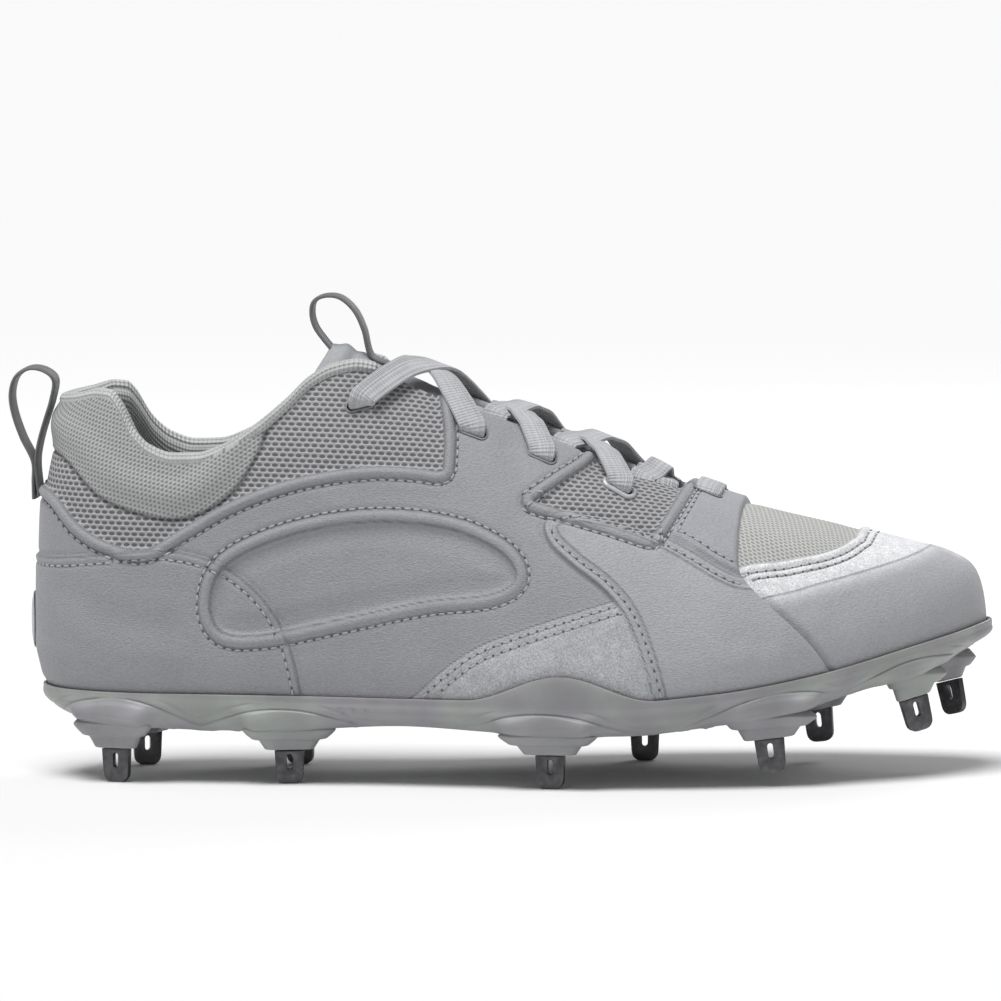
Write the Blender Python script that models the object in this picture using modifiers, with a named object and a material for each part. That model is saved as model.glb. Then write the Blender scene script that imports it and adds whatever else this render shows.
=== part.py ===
"""Low baseball cleat, right shoe, standing on its studs: a lasted hollow upper with overlays,
padded collar, tongue and laces, on a moulded plate with ten steel blade studs.

Build frame: +X from heel to toe, -Y to the wearer's right (the lateral side), +Z up from the ground.
At the end one empty carries every piece so that the origin is the bottom centre of the whole shoe.
"""

import math

import bmesh
import bpy
import numpy as np
from mathutils import Vector

# Sizes of the last, in metres
UPPER_LENGTH = 0.295
BALL_BREADTH = 0.098
RIDGE_HEIGHT = 0.1120
HEEL_COLLAR_HEIGHT = 0.090
THROAT_FRONT = 0.2195
FEATHER_TUCK = 0.0024
TUCK_HEIGHT = 0.014
HEEL_CURVE_REACH = 0.060

# Heights of the sole under the feather line
SOLE_STACK = 0.0263
HEEL_LIFT = 0.0026
TOE_SPRING = 0.0192
PLATE_DEPTH = 0.0090

# Walls, gaps and layers
WALL = 0.0024
GAP = 0.0003
OVERLAY_THICKNESS = 0.0011
OVERLAY_HEM = 0.0013
RIM_THICKNESS = 0.0015
RIM_HEIGHT = 0.0016
RIM_CLEARANCE = 0.0005
OUTRIGGER_HEIGHT = 0.0090
OUTRIGGER_CENTRE = 0.169
OUTRIGGER_REACH = 0.030
SOLE_LEDGE = 0.0016
BOTTOM_INSET = 0.0040

# Collar padding and crescent
PAD_HEIGHT = 0.024
PAD_THICKNESS = 0.0062
PAD_ROLL = 0.0028
PAD_FRONT = 0.074
PAD_CLEARANCE = 0.0008

# Insole and tongue
INSOLE_THICKNESS = 0.0040
INSOLE_CLEARANCE = 0.0010
TONGUE_THICKNESS = 0.0040
TONGUE_DEPTH = 0.0010
TONGUE_FRONT = 0.226
TONGUE_TOP = 0.0955
TONGUE_HALF = 0.026
TONGUE_WINGS = 0.015
TONGUE_COLUMNS = 8
TONGUE_STEPS = 12
TONGUE_NARROW = 0.62
TONGUE_WIDENING = 1.6
TONGUE_ROUNDING = (0.9, 0.25)
TONGUE_SWELL = 0.9
TONGUE_EDGE = 0.3
TONGUE_END = 0.35
TONGUE_WING_POWER = 1.7

# Laces and eyelets
LACE_WIDTH = 0.0085
LACE_THICKNESS = 0.0013
LACE_CLEARANCE = 0.0009
LACE_DIP = 0.42
LACE_SINK = 0.0012
LACE_EDGE_LEAD = 0.022
LACE_BAR_LEAD = 0.042
LACE_EDGE_SPACE = 0.0044
LACE_STEPS = 10
LACE_OVERLAP_LIFT = 0.35
EYELET_LENGTH = 0.0086
EYELET_WIDTH = 0.0026
EYELET_DEPTH = 0.0060

# Pull loops
LOOP_THICKNESS = 0.0014
LOOP_STEPS = 16
LOOP_END_INWARD = 0.0016
HEEL_LOOP_WIDTH = 0.0110
TONGUE_LOOP_WIDTH = 0.0085

# Studs
STUD_HEIGHT = 0.0108
STUD_WIDTH = 0.0085
STUD_THICKNESS = 0.0022
STUD_CORNER = 0.0029
SLOT_WIDTH = 0.0018
SLOT_LENGTH = 0.0048
SLOT_ABOVE_FOOT = 0.0045
LUG_LENGTH = 0.035
LUG_BREADTH = 0.026
LUG_TRIANGLE = 0.24
LUG_INWARD = 0.0022
LUG_POINTS = 12
LUG_HALF_BREADTH = 0.44
LUG_HALF_LENGTH = 0.38
STUD_TAPER = 1.10

# Steps of a lug: shares of its drop from the plate to the seat, and of its size
LUG_STEPS = ((0.22, 0.98), (0.48, 0.78), (0.58, 0.63), (1.00, 0.54))

# Colours of the plain solids
OVERLAY_GREY = (0.38, 0.39, 0.41)
MESH_WHITE = (0.62, 0.63, 0.62)
PAD_GREY = (0.48, 0.50, 0.49)
LACE_GREY = (0.50, 0.51, 0.51)
INSOLE_GREY = (0.30, 0.30, 0.31)
PLATE_GREY = (0.30, 0.31, 0.30)
STEEL = (0.10, 0.10, 0.11)

# Heel badge
BADGE_HEIGHT = 0.0180
BADGE_BREADTH = 0.0150
BADGE_THICKNESS = 0.0016
BADGE_ABOVE_FEATHER = 0.0200
BADGE_SEGMENTS = 12
BADGE_RINGS = 6
HEEL_ROUNDING = 0.030

# Outlines in the side view, as (x, z) from the heel and the ground
OUTLINE_REACH = 0.1
QUARTER_OUTLINE = (
    (-0.020, 0.0),
    (-0.020, 0.0925),
    (0.0060, 0.0925),
    (0.0165, 0.0825),
    (0.0265, 0.0775),
    (0.0375, 0.0750),
    (0.0480, 0.0805),
    (0.0620, 0.0883),
    (0.0775, 0.0943),
    (0.0930, 0.0980),
    (0.1080, 0.1000),
    (0.1310, 0.0985),
    (0.1300, 0.1085),
    (0.1275, 0.1210),
    (0.1200, 0.1600),
    (0.2226, 0.1600),
    (0.2226, 0.0870),
    (0.2236, 0.0680),
    (0.2322, 0.0576),
    (0.2409, 0.0497),
    (0.2472, 0.0428),
    (0.2527, 0.0333),
    (0.2600, 0.0),
)
QUARTER_WINDOWS = (
    (
        (0.1602, 0.0895),
        (0.1700, 0.0915),
        (0.1780, 0.0990),
        (0.1785, 0.1600),
        (0.2030, 0.1600),
        (0.2025, 0.0890),
        (0.1965, 0.0785),
        (0.1822, 0.0830),
    ),
)
TOE_OUTLINE = (
    (0.2605, 0.0),
    (0.2532, 0.0336),
    (0.2478, 0.0431),
    (0.2415, 0.0501),
    (0.2328, 0.0581),
    (0.2245, 0.0672),
    (0.2390, 0.0690),
    (0.2533, 0.0716),
    (0.2569, 0.0751),
    (0.2509, 0.1000),
    (0.3200, 0.1000),
    (0.3200, 0.0),
)

# Free part of each pull loop, as (x, z): from the heel's collar edge, and from the tongue's top
HEEL_LOOP_FOOT = 0.030
HEEL_LOOP_ROUTE = (
    (-0.0150, -0.0180),
    (-0.0164, -0.0100),
    (-0.0160, -0.0010),
    (-0.0138, 0.0070),
    (-0.0100, 0.0108),
    (-0.0052, 0.0108),
    (-0.0006, 0.0075),
)
TONGUE_LOOP_REACH = (0.0175, 0.0115)
TONGUE_LOOP_ROUTE = (
    (0.0086, 0.0052),
    (0.0058, 0.0112),
    (0.0014, 0.0152),
    (-0.0034, 0.0158),
    (-0.0070, 0.0140),
    (-0.0077, 0.0100),
    (-0.0062, 0.0052),
    (-0.0016, 0.0010),
)

# Number of steps along and around the upper
REAR_STATIONS = 21
FRONT_STATIONS = 11
WALL_ROWS = 8
SECTION_STEPS = 90
FINE_SECTION_STEPS = 240
LOOP_SECTION_STEPS = 160

LATERAL, MEDIAL = -1, 1

# Shares of UPPER_LENGTH, then of BALL_BREADTH twice, then of RIDGE_HEIGHT, then the section's powers
LAST_COLUMNS = ("station", "middle", "breadth", "ridge", "width_power", "height_power")
LAST = (
    (0.000, 0.000, 0.000, 0.982, 2.00, 2.40),
    (0.033, 0.000, 0.440, 0.986, 2.00, 2.40),
    (0.085, 0.000, 0.580, 0.992, 2.00, 2.40),
    (0.150, 0.000, 0.636, 1.000, 2.00, 2.40),
    (0.250, -0.018, 0.660, 1.006, 2.00, 2.35),
    (0.300, -0.026, 0.670, 1.006, 2.00, 2.30),
    (0.333, -0.032, 0.680, 0.997, 2.00, 2.25),
    (0.367, -0.036, 0.700, 0.961, 2.00, 2.15),
    (0.410, -0.038, 0.745, 0.906, 1.97, 2.00),
    (0.467, -0.034, 0.825, 0.841, 1.95, 1.88),
    (0.523, -0.028, 0.910, 0.780, 1.95, 1.88),
    (0.590, -0.018, 0.972, 0.703, 1.98, 1.95),
    (0.650, -0.008, 0.992, 0.627, 2.00, 2.05),
    (0.725, 0.006, 0.985, 0.530, 2.05, 2.15),
    (0.787, 0.024, 0.935, 0.459, 2.10, 2.20),
    (0.850, 0.054, 0.835, 0.385, 2.15, 2.30),
    (0.923, 0.094, 0.650, 0.283, 2.20, 2.40),
    (0.967, 0.126, 0.470, 0.215, 2.20, 2.45),
    (0.988, 0.145, 0.290, 0.162, 2.20, 2.45),
    (1.000, 0.158, 0.000, 0.000, 2.20, 2.45),
)

# Shares of UPPER_LENGTH, HEEL_LIFT and TOE_SPRING
FEATHER_COLUMNS = ("station", "lift", "spring")
FEATHER = (
    (0.000, 1.000, 0.000),
    (0.170, 0.620, 0.000),
    (0.400, 0.000, 0.000),
    (0.640, 0.000, 0.000),
    (0.733, 0.000, 0.110),
    (0.840, 0.000, 0.380),
    (0.937, 0.000, 0.760),
    (1.000, 0.000, 1.000),
)

# Shares of UPPER_LENGTH and PLATE_DEPTH: how far the plate's bottom lies under the feather line
PLATE_COLUMNS = ("station", "depth")
PLATE = (
    (0.000, 0.800),
    (0.040, 0.940),
    (0.180, 1.200),
    (0.300, 1.000),
    (0.400, 0.800),
    (0.500, 0.940),
    (0.610, 1.040),
    (0.720, 0.960),
    (0.860, 0.880),
    (0.960, 0.840),
    (1.000, 0.600),
)

# Collar and throat line: shares of UPPER_LENGTH and of HEEL_COLLAR_HEIGHT above the feather
EDGE_COLUMNS = ("station", "height")
EDGE = (
    (0.000, 0.992),
    (0.027, 1.006),
    (0.053, 1.024),
    (0.070, 1.020),
    (0.085, 0.985),
    (0.107, 0.888),
    (0.127, 0.838),
    (0.153, 0.813),
    (0.182, 0.817),
    (0.207, 0.846),
    (0.240, 0.913),
    (0.277, 1.016),
    (0.297, 1.082),
    (0.323, 1.132),
    (0.347, 1.147),
    (0.363, 1.138),
    (0.378, 1.121),
    (0.400, 1.090),
    (0.437, 1.040),
    (0.480, 0.982),
    (0.515, 0.941),
    (0.548, 0.894),
    (0.590, 0.836),
    (0.630, 0.776),
    (0.667, 0.734),
    (0.693, 0.702),
    (0.713, 0.679),
    (0.725, 0.662),
)

# Heel curve seen from the side: shares of HEEL_COLLAR_HEIGHT, then how far the back leans in, in metres
HEEL_COLUMNS = ("height", "lean")
HEEL = (
    (0.00, 0.0026),
    (0.07, 0.0010),
    (0.16, -0.0004),
    (0.36, 0.0000),
    (0.58, 0.0007),
    (0.71, 0.0020),
    (0.80, 0.0040),
    (0.89, 0.0058),
    (0.96, 0.0072),
    (1.02, 0.0096),
)

# Studs: name, shares of UPPER_LENGTH and BALL_BREADTH, turn in plan and lean of the foot towards
# the toe in degrees, size of the lug
STUD_COLUMNS = ("name", "station", "across", "turn", "lean", "lug_size")
STUDS = (
    ("heel_rear_lateral", 0.088, -0.235, -18, 0, 0.84),
    ("heel_rear_medial", 0.097, 0.240, 18, 0, 0.84),
    ("heel_front_lateral", 0.275, -0.255, 8, 0, 0.92),
    ("heel_front_medial", 0.262, 0.275, -8, 0, 0.88),
    ("ball_rear_lateral", 0.559, -0.404, -8, 0, 1.00),
    ("ball_rear_medial", 0.630, 0.370, 8, 0, 1.00),
    ("ball_front_lateral", 0.788, -0.385, 8, 6, 0.94),
    ("ball_front_medial", 0.816, 0.330, -6, 6, 0.90),
    ("toe_lateral", 0.932, -0.185, 26, 14, 0.66),
    ("toe_medial", 0.962, 0.085, -34, 14, 0.56),
)

# Eyelets from the front pair to the top pair: shares of UPPER_LENGTH, how far under the throat line
# in metres, and the slot's turn in degrees
EYELET_COLUMNS = ("station", "below", "turn")
EYELETS = (
    (0.715, 0.0085, -8),
    (0.628, 0.0088, -12),
    (0.546, 0.0095, -6),
    (0.473, 0.0095, -4),
    (0.354, 0.0135, 34),
)


def column(table, columns, name):
    return [row[columns.index(name)] for row in table]


def smooth_through(xs, ys, at):
    """A monotone cubic through the points (xs, ys), read at the values at."""
    xs, ys = np.asarray(xs, float), np.asarray(ys, float)
    at = np.clip(np.asarray(at, float), xs[0], xs[-1])
    step = np.diff(xs)
    slope = np.diff(ys) / step
    tangent = np.zeros(len(xs))
    tangent[0], tangent[-1] = slope[0], slope[-1]
    for k in range(1, len(xs) - 1):
        if slope[k - 1] * slope[k] > 0:
            before, after = 2 * step[k] + step[k - 1], step[k] + 2 * step[k - 1]
            tangent[k] = (before + after) / (before / slope[k - 1] + after / slope[k])
    k = np.clip(np.searchsorted(xs, at, side="right") - 1, 0, len(xs) - 2)
    t = (at - xs[k]) / step[k]
    return (
        (1 + 2 * t) * (1 - t) ** 2 * ys[k]
        + t * (1 - t) ** 2 * step[k] * tangent[k]
        + t * t * (3 - 2 * t) * ys[k + 1]
        + t * t * (t - 1) * step[k] * tangent[k + 1]
    )


def end_angle(share):
    """Turns a share of the length into an angle's share, so that tables give round ends."""
    return np.arccos(np.clip(1 - 2 * np.asarray(share, float), -1, 1)) / math.pi


def last_value(name, share):
    stations = end_angle(column(LAST, LAST_COLUMNS, "station"))
    return smooth_through(stations, column(LAST, LAST_COLUMNS, name), end_angle(share))


def feather_height(share):
    """Height of the line where the upper meets the sole, above the ground."""
    stations = column(FEATHER, FEATHER_COLUMNS, "station")
    lift = smooth_through(stations, column(FEATHER, FEATHER_COLUMNS, "lift"), share)
    spring = smooth_through(stations, column(FEATHER, FEATHER_COLUMNS, "spring"), share)
    return SOLE_STACK + HEEL_LIFT * lift + TOE_SPRING * spring


def edge_height(share):
    """Height of the collar and throat line, above the ground."""
    line = smooth_through(
        column(EDGE, EDGE_COLUMNS, "station"), column(EDGE, EDGE_COLUMNS, "height"), share
    )
    return feather_height(share) + HEEL_COLLAR_HEIGHT * line


def section(share, steps=SECTION_STEPS):
    """Half of the last's section at a share of the length: half breadths and heights, feather to ridge."""
    half = 0.5 * BALL_BREADTH * float(last_value("breadth", share))
    rise = RIDGE_HEIGHT * float(last_value("ridge", share))
    wide = float(last_value("width_power", share))
    tall = float(last_value("height_power", share))
    angle = np.linspace(0, math.pi / 2, steps)
    up = rise * np.sin(angle) ** (2 / tall)
    out = half * np.abs(np.cos(angle)) ** (2 / wide)
    tuck = FEATHER_TUCK * min(1.0, half / TUCK_HEIGHT)
    out = out - tuck * np.clip(1 - up / TUCK_HEIGHT, 0, 1) ** 2
    out[-1] = 0.0
    return np.maximum(out, 0.0), up


def heel_lean(share, up):
    """How far the back of the heel leans in at a height above the feather, fading out along the shoe."""
    lean = smooth_through(
        column(HEEL, HEEL_COLUMNS, "height"),
        column(HEEL, HEEL_COLUMNS, "lean"),
        np.asarray(up) / HEEL_COLLAR_HEIGHT,
    )
    return lean * max(0.0, 1 - share * UPPER_LENGTH / HEEL_CURVE_REACH) ** 2


def place_on_last(share, side, out, up):
    """The point of the build frame for a half breadth and a height at one station and side."""
    along = share * UPPER_LENGTH + heel_lean(share, up)
    across = BALL_BREADTH * float(last_value("middle", share)) + side * out
    return np.stack(
        [along + 0 * across, across, float(feather_height(share)) + up], axis=-1
    )


def wall_line(share, side, top, rows, hem):
    """Points up the wall at one station, evenly spaced from the hem to the height top above the ground."""
    out, up = section(share)
    run = np.concatenate([[0], np.cumsum(np.hypot(np.diff(out), np.diff(up)))])
    reach = run[-1] if top is None else np.interp(top - float(feather_height(share)), up, run)
    at = np.linspace(min(hem, 0.5 * reach), reach, rows + 1)
    return place_on_last(share, side, np.interp(at, run, out), np.interp(at, run, up))


def wall_point(share, side, height):
    """The point of the last's surface at a station and a height above the ground."""
    out, up = section(share, FINE_SECTION_STEPS)
    above = height - float(feather_height(share))
    return Vector(place_on_last(share, side, np.interp([above], up, out), np.array([above]))[0])


def wall_normal(share, side, height):
    """The outward direction of the last's surface there."""
    step = 0.004
    along = wall_point(min(share + step, 0.999), side, height) - wall_point(
        share - step, side, height
    )
    rise = wall_point(share, side, height + 0.001) - wall_point(share, side, height - 0.001)
    return (side * rise.cross(along)).normalized()


def station_shares():
    """Stations evenly spread in the end angle, with one exactly at the throat's front."""
    throat = float(end_angle(THROAT_FRONT / UPPER_LENGTH))
    rear = np.linspace(0, throat, REAR_STATIONS + 1)
    front = np.linspace(throat, 1, FRONT_STATIONS + 1)[1:]
    return (1 - np.cos(math.pi * np.concatenate([rear, front]))) / 2


def new_object(name, mesh, collection, colour, roughness=0.6, metallic=0.0):
    material = bpy.data.materials.new(name)
    material.use_nodes = True
    shader = material.node_tree.nodes["Principled BSDF"]
    shader.inputs["Base Color"].default_value = (*colour, 1)
    shader.inputs["Roughness"].default_value = roughness
    shader.inputs["Metallic"].default_value = metallic
    mesh.materials.append(material)
    obj = bpy.data.objects.new(name, mesh)
    collection.objects.link(obj)
    return obj


def mesh_from(bm, name):
    mesh = bpy.data.meshes.new(name)
    bm.to_mesh(mesh)
    bm.free()
    mesh.shade_smooth()
    mesh.set_sharp_from_angle(angle=math.radians(40))
    return mesh


def helper(name, bm, collection):
    """A cutter or other guide: kept out of the render."""
    obj = bpy.data.objects.new(name, mesh_from(bm, name))
    collection.objects.link(obj)
    obj.hide_render = True
    obj.display_type = "WIRE"
    return obj


def boolean(obj, name, operation, other):
    cut = obj.modifiers.new(name, "BOOLEAN")
    cut.operation = operation
    cut.object = other
    cut.solver = "EXACT"


def solidify(obj, thickness, offset):
    shell = obj.modifiers.new("thickness", "SOLIDIFY")
    shell.thickness = thickness
    shell.offset = offset
    shell.use_even_offset = True
    flat = obj.modifiers.new("flat faces", "TRIANGULATE")
    flat.quad_method = "FIXED"


def lasted_surface(hem=0.0):
    """The open outer surface of the whole upper, both sides joined at heel, toe and vamp ridge.

    hem is how far up the wall it starts."""
    bm = bmesh.new()
    shares = station_shares()
    grids = {}
    for side in (LATERAL, MEDIAL):
        grid = []
        for number, share in enumerate(shares):
            top = None if number >= REAR_STATIONS else float(edge_height(share))
            line = wall_line(share, side, top, WALL_ROWS, hem)
            grid.append([bm.verts.new(point) for point in line])
        grids[side] = grid
        for i in range(len(shares) - 1):
            for j in range(WALL_ROWS):
                corners = [grid[i][j], grid[i + 1][j], grid[i + 1][j + 1], grid[i][j + 1]]
                bm.faces.new(corners if side == LATERAL else corners[::-1])
    bmesh.ops.remove_doubles(bm, verts=bm.verts, dist=0.00002)
    bmesh.ops.dissolve_degenerate(bm, edges=bm.edges, dist=0.00001)
    bm.normal_update()
    return bm


def lasted_surface_at(offset):
    """The same surface moved out along its normals."""
    bm = lasted_surface(OVERLAY_HEM)
    moves = [(v, v.co + v.normal * offset) for v in bm.verts]
    for vertex, place in moves:
        vertex.co = place
    return bm


def side_prism(outline, reach):
    """A closed prism right across the shoe, from an outline (x, z) in the side view."""
    bm = bmesh.new()
    ring = [bm.verts.new((x, -reach, z)) for x, z in outline]
    face = bm.faces.new(ring)
    grown = bmesh.ops.extrude_face_region(bm, geom=[face])
    bmesh.ops.translate(
        bm,
        vec=(0, 2 * reach, 0),
        verts=[v for v in grown["geom"] if isinstance(v, bmesh.types.BMVert)],
    )
    bmesh.ops.recalc_face_normals(bm, faces=bm.faces)
    return bm


def rounded(points, steps):
    """An open smooth line through points given as rows of coordinates."""
    points = np.asarray(points, float)
    run = np.concatenate([[0], np.cumsum(np.linalg.norm(np.diff(points, axis=0), axis=1))])
    at = np.linspace(0, run[-1], steps + 1)
    return np.stack(
        [smooth_line(run, points[:, k], at) for k in range(points.shape[1])], axis=1
    )


def smooth_line(xs, ys, at):
    """A cubic through the points with mean slopes, for routes that may turn back."""
    slope = np.gradient(ys, xs)
    k = np.clip(np.searchsorted(xs, at, side="right") - 1, 0, len(xs) - 2)
    step = xs[k + 1] - xs[k]
    t = (at - xs[k]) / step
    return (
        (1 + 2 * t) * (1 - t) ** 2 * ys[k]
        + t * (1 - t) ** 2 * step * slope[k]
        + t * t * (3 - 2 * t) * ys[k + 1]
        + t * t * (t - 1) * step * slope[k + 1]
    )


def over_last(share, across, offset):
    """A point over the last, at a signed distance across from the ridge, and its outward direction."""
    side = LATERAL if across < 0 else MEDIAL
    out, up = section(share, FINE_SECTION_STEPS)
    run = np.concatenate([[0], np.cumsum(np.hypot(np.diff(out), np.diff(up)))])
    at = max(run[-1] - abs(across), 0.0)
    point = Vector(
        place_on_last(share, side, np.interp([at], run, out), np.interp([at], run, up))[0]
    )
    near = min(abs(across) + 0.002, run[-1])
    ahead = min(share + 0.01, 0.99)

    def at_run(where_share, where_across, where_side):
        wide, tall = section(where_share, FINE_SECTION_STEPS)
        length = np.concatenate([[0], np.cumsum(np.hypot(np.diff(wide), np.diff(tall)))])
        spot = max(length[-1] - where_across, 0.0)
        return Vector(
            place_on_last(
                where_share,
                where_side,
                np.interp([spot], length, wide),
                np.interp([spot], length, tall),
            )[0]
        )

    along = at_run(ahead, abs(across), side) - at_run(share - 0.01, abs(across), side)
    round_it = at_run(share, near, side) - at_run(share, max(abs(across) - 0.002, 0.0), side)
    normal = (side * along.cross(round_it)).normalized()
    if abs(across) < 0.0022:
        normal = Vector((-along.z, 0, along.x)).normalized()
        if normal.z < 0:
            normal = -normal
    return point + normal * offset, normal


def edge_across(share):
    """Distance over the last from the ridge to the throat's edge."""
    out, up = section(share, FINE_SECTION_STEPS)
    run = np.concatenate([[0], np.cumsum(np.hypot(np.diff(out), np.diff(up)))])
    return run[-1] - np.interp(float(edge_height(share)) - float(feather_height(share)), up, run)


def strip(points, normals, width, thickness):
    """A closed flat strip along points, its flat side facing the normals."""
    bm = bmesh.new()
    rings = []
    for number, (point, normal) in enumerate(zip(points, normals)):
        before = points[max(number - 1, 0)]
        after = points[min(number + 1, len(points) - 1)]
        across = (Vector(after) - Vector(before)).cross(Vector(normal)).normalized()
        face = across.cross(Vector(after) - Vector(before)).normalized()
        if face.dot(Vector(normal)) < 0:
            face = -face
        corners = ((-0.5, 0), (0.5, 0), (0.5, 1), (-0.5, 1))
        rings.append(
            [
                bm.verts.new(Vector(point) + across * (width * u) + face * (thickness * v))
                for u, v in corners
            ]
        )
    for first, second in zip(rings, rings[1:]):
        for k in range(4):
            bm.faces.new((first[k], first[(k + 1) % 4], second[(k + 1) % 4], second[k]))
    bm.faces.new(rings[0][::-1])
    bm.faces.new(rings[-1])
    bmesh.ops.recalc_face_normals(bm, faces=bm.faces)
    return bm


def closed_rings(bm, rings, cap_columns=False):
    """Joins rings of equal length into a skin; each end is closed across from side to side."""
    made = [[bm.verts.new(point) for point in ring] for ring in rings]
    count = len(made[0])
    for first, second in zip(made, made[1:]):
        for k in range(count):
            bm.faces.new((first[k], first[(k + 1) % count], second[(k + 1) % count], second[k]))
    if cap_columns:
        for ring in (made[0], made[-1]):
            half = count // 2
            bm.faces.new((ring[0], ring[1], ring[-1]))
            for k in range(1, half - 1):
                bm.faces.new((ring[k], ring[k + 1], ring[count - k - 1], ring[count - k]))
            bm.faces.new((ring[half - 1], ring[half], ring[half + 1]))
    else:
        bm.faces.new(made[0])
        bm.faces.new(made[-1])
    bmesh.ops.recalc_face_normals(bm, faces=bm.faces)


def plan_loop(ups, offset, heights=None):
    """Points round the shoe, lateral heel to toe and medial back, moved out in plan by offset.

    ups gives, for a share and a side, how far up the last the loop lies, and heights its own level."""
    shares = station_shares()
    walk = [(s, LATERAL) for s in shares] + [(s, MEDIAL) for s in shares[-2:0:-1]]
    base = []
    for share, side in walk:
        out, up = section(share, LOOP_SECTION_STEPS)
        rise = ups(share, side)
        at = np.interp([rise], up, out) if up[-1] > 0 else np.array([0.0])
        point = place_on_last(share, side, at, np.array([rise]))[0]
        base.append(point)
    base = np.array(base)
    ahead = np.roll(base, -1, axis=0)[:, :2] - np.roll(base, 1, axis=0)[:, :2]
    normal = np.stack([ahead[:, 1], -ahead[:, 0]], axis=1)
    normal /= np.linalg.norm(normal, axis=1)[:, None]
    moved = base.copy()
    moved[:, :2] += normal * offset
    if heights is not None:
        moved[:, 2] = [heights(share, side) for share, side in walk]
    return moved


def rim_height(share, side):
    """How far the sole's rim stands up the upper: low, with the lateral outrigger beside the ball."""
    away = (share * UPPER_LENGTH - OUTRIGGER_CENTRE) / OUTRIGGER_REACH
    if side == MEDIAL or abs(away) >= 1:
        return RIM_HEIGHT
    return RIM_HEIGHT + (OUTRIGGER_HEIGHT - RIM_HEIGHT) * math.cos(math.pi * away / 2) ** 2


def plate_depth(share):
    stations = column(PLATE, PLATE_COLUMNS, "station")
    return PLATE_DEPTH * float(smooth_through(stations, column(PLATE, PLATE_COLUMNS, "depth"), share))


def plate_body():
    """The plate: rim with outrigger, stepped side, and a bottom that follows arch and toe spring."""
    inner = GAP + OVERLAY_THICKNESS + RIM_CLEARANCE

    def flat(share, side):
        return 0.0

    def below(part):
        return lambda share, side: float(feather_height(share)) - GAP - part * plate_depth(share)

    def rim(part):
        return lambda share, side: part * rim_height(share, side)

    outer = inner + RIM_THICKNESS
    rings = [
        plan_loop(flat, inner, below(0)),
        plan_loop(rim(0.5), inner),
        plan_loop(rim(1.0), inner),
        plan_loop(rim(1.0), inner + 0.4 * RIM_THICKNESS),
        plan_loop(rim(0.55), outer),
        plan_loop(flat, outer, below(0.10)),
        plan_loop(flat, outer, below(0.48)),
        plan_loop(flat, outer - SOLE_LEDGE, below(0.60)),
        plan_loop(flat, outer - BOTTOM_INSET, below(1.0)),
    ]
    bm = bmesh.new()
    closed_rings(bm, rings, cap_columns=True)
    return bm


def stud_place(stud):
    """Where a stud stands in plan, the height of its foot and of the lug face that it is set in."""
    share = stud[STUD_COLUMNS.index("station")]
    across = BALL_BREADTH * stud[STUD_COLUMNS.index("across")]
    middle = BALL_BREADTH * float(last_value("middle", share))
    stations = column(FEATHER, FEATHER_COLUMNS, "station")
    foot = TOE_SPRING * float(
        smooth_through(stations, column(FEATHER, FEATHER_COLUMNS, "spring"), share)
    )
    return share * UPPER_LENGTH, middle + across, foot, foot + STUD_HEIGHT


def lug_body(stud):
    """A flared lug: a rounded triangle that points to the middle, stepped down to the stud's seat."""
    x, y, _, seat = stud_place(stud)
    share = stud[STUD_COLUMNS.index("station")]
    scale = stud[STUD_COLUMNS.index("lug_size")]
    turn = math.radians(stud[STUD_COLUMNS.index("turn")])
    slope = math.tan(math.radians(stud[STUD_COLUMNS.index("lean")]))
    inward = 1 if stud[STUD_COLUMNS.index("across")] < 0 else -1
    top = float(feather_height(share)) - GAP - 0.5 * plate_depth(share)
    bottom = float(feather_height(share)) - GAP - plate_depth(share)
    drop = bottom - seat
    rows = [(top, 0.0, 1.0)] + [(bottom - part * drop, part * slope, size) for part, size in LUG_STEPS]
    bm = bmesh.new()
    rings = []
    for height, rise, size in rows:
        ring = []
        for k in range(LUG_POINTS):
            angle = 2 * math.pi * k / LUG_POINTS
            reach = scale * size / (1 - LUG_TRIANGLE * math.cos(3 * angle))
            across = (LUG_HALF_BREADTH * LUG_BREADTH * reach * math.cos(angle) + LUG_INWARD * scale) * inward
            along = LUG_HALF_LENGTH * LUG_LENGTH * reach * math.sin(angle)
            ring.append(
                (
                    x + along * math.cos(turn) - across * math.sin(turn),
                    y + along * math.sin(turn) + across * math.cos(turn),
                    height + rise * along,
                )
            )
        rings.append(ring)
    closed_rings(bm, rings)
    return bm


def joined(parts, name):
    """One mesh from several."""
    bm = bmesh.new()
    for part in parts:
        mesh = bpy.data.meshes.new(name)
        part.to_mesh(mesh)
        part.free()
        bm.from_mesh(mesh)
        bpy.data.meshes.remove(mesh)
    return bm


def make_outsole(pieces, cutters):
    sole = new_object("outsole", mesh_from(plate_body(), "outsole"), pieces, PLATE_GREY, 0.35)
    for stud in STUDS:
        name = "lug_" + stud[0]
        boolean(sole, name, "UNION", helper(name, lug_body(stud), cutters))


def arc(centre, radius, start, turn, steps=4):
    """Points (u, v) round a part of a circle, angles in degrees."""
    angles = [math.radians(start + turn * k / steps) for k in range(steps + 1)]
    return [(centre[0] + radius * math.cos(a), centre[1] + radius * math.sin(a)) for a in angles]


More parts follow.
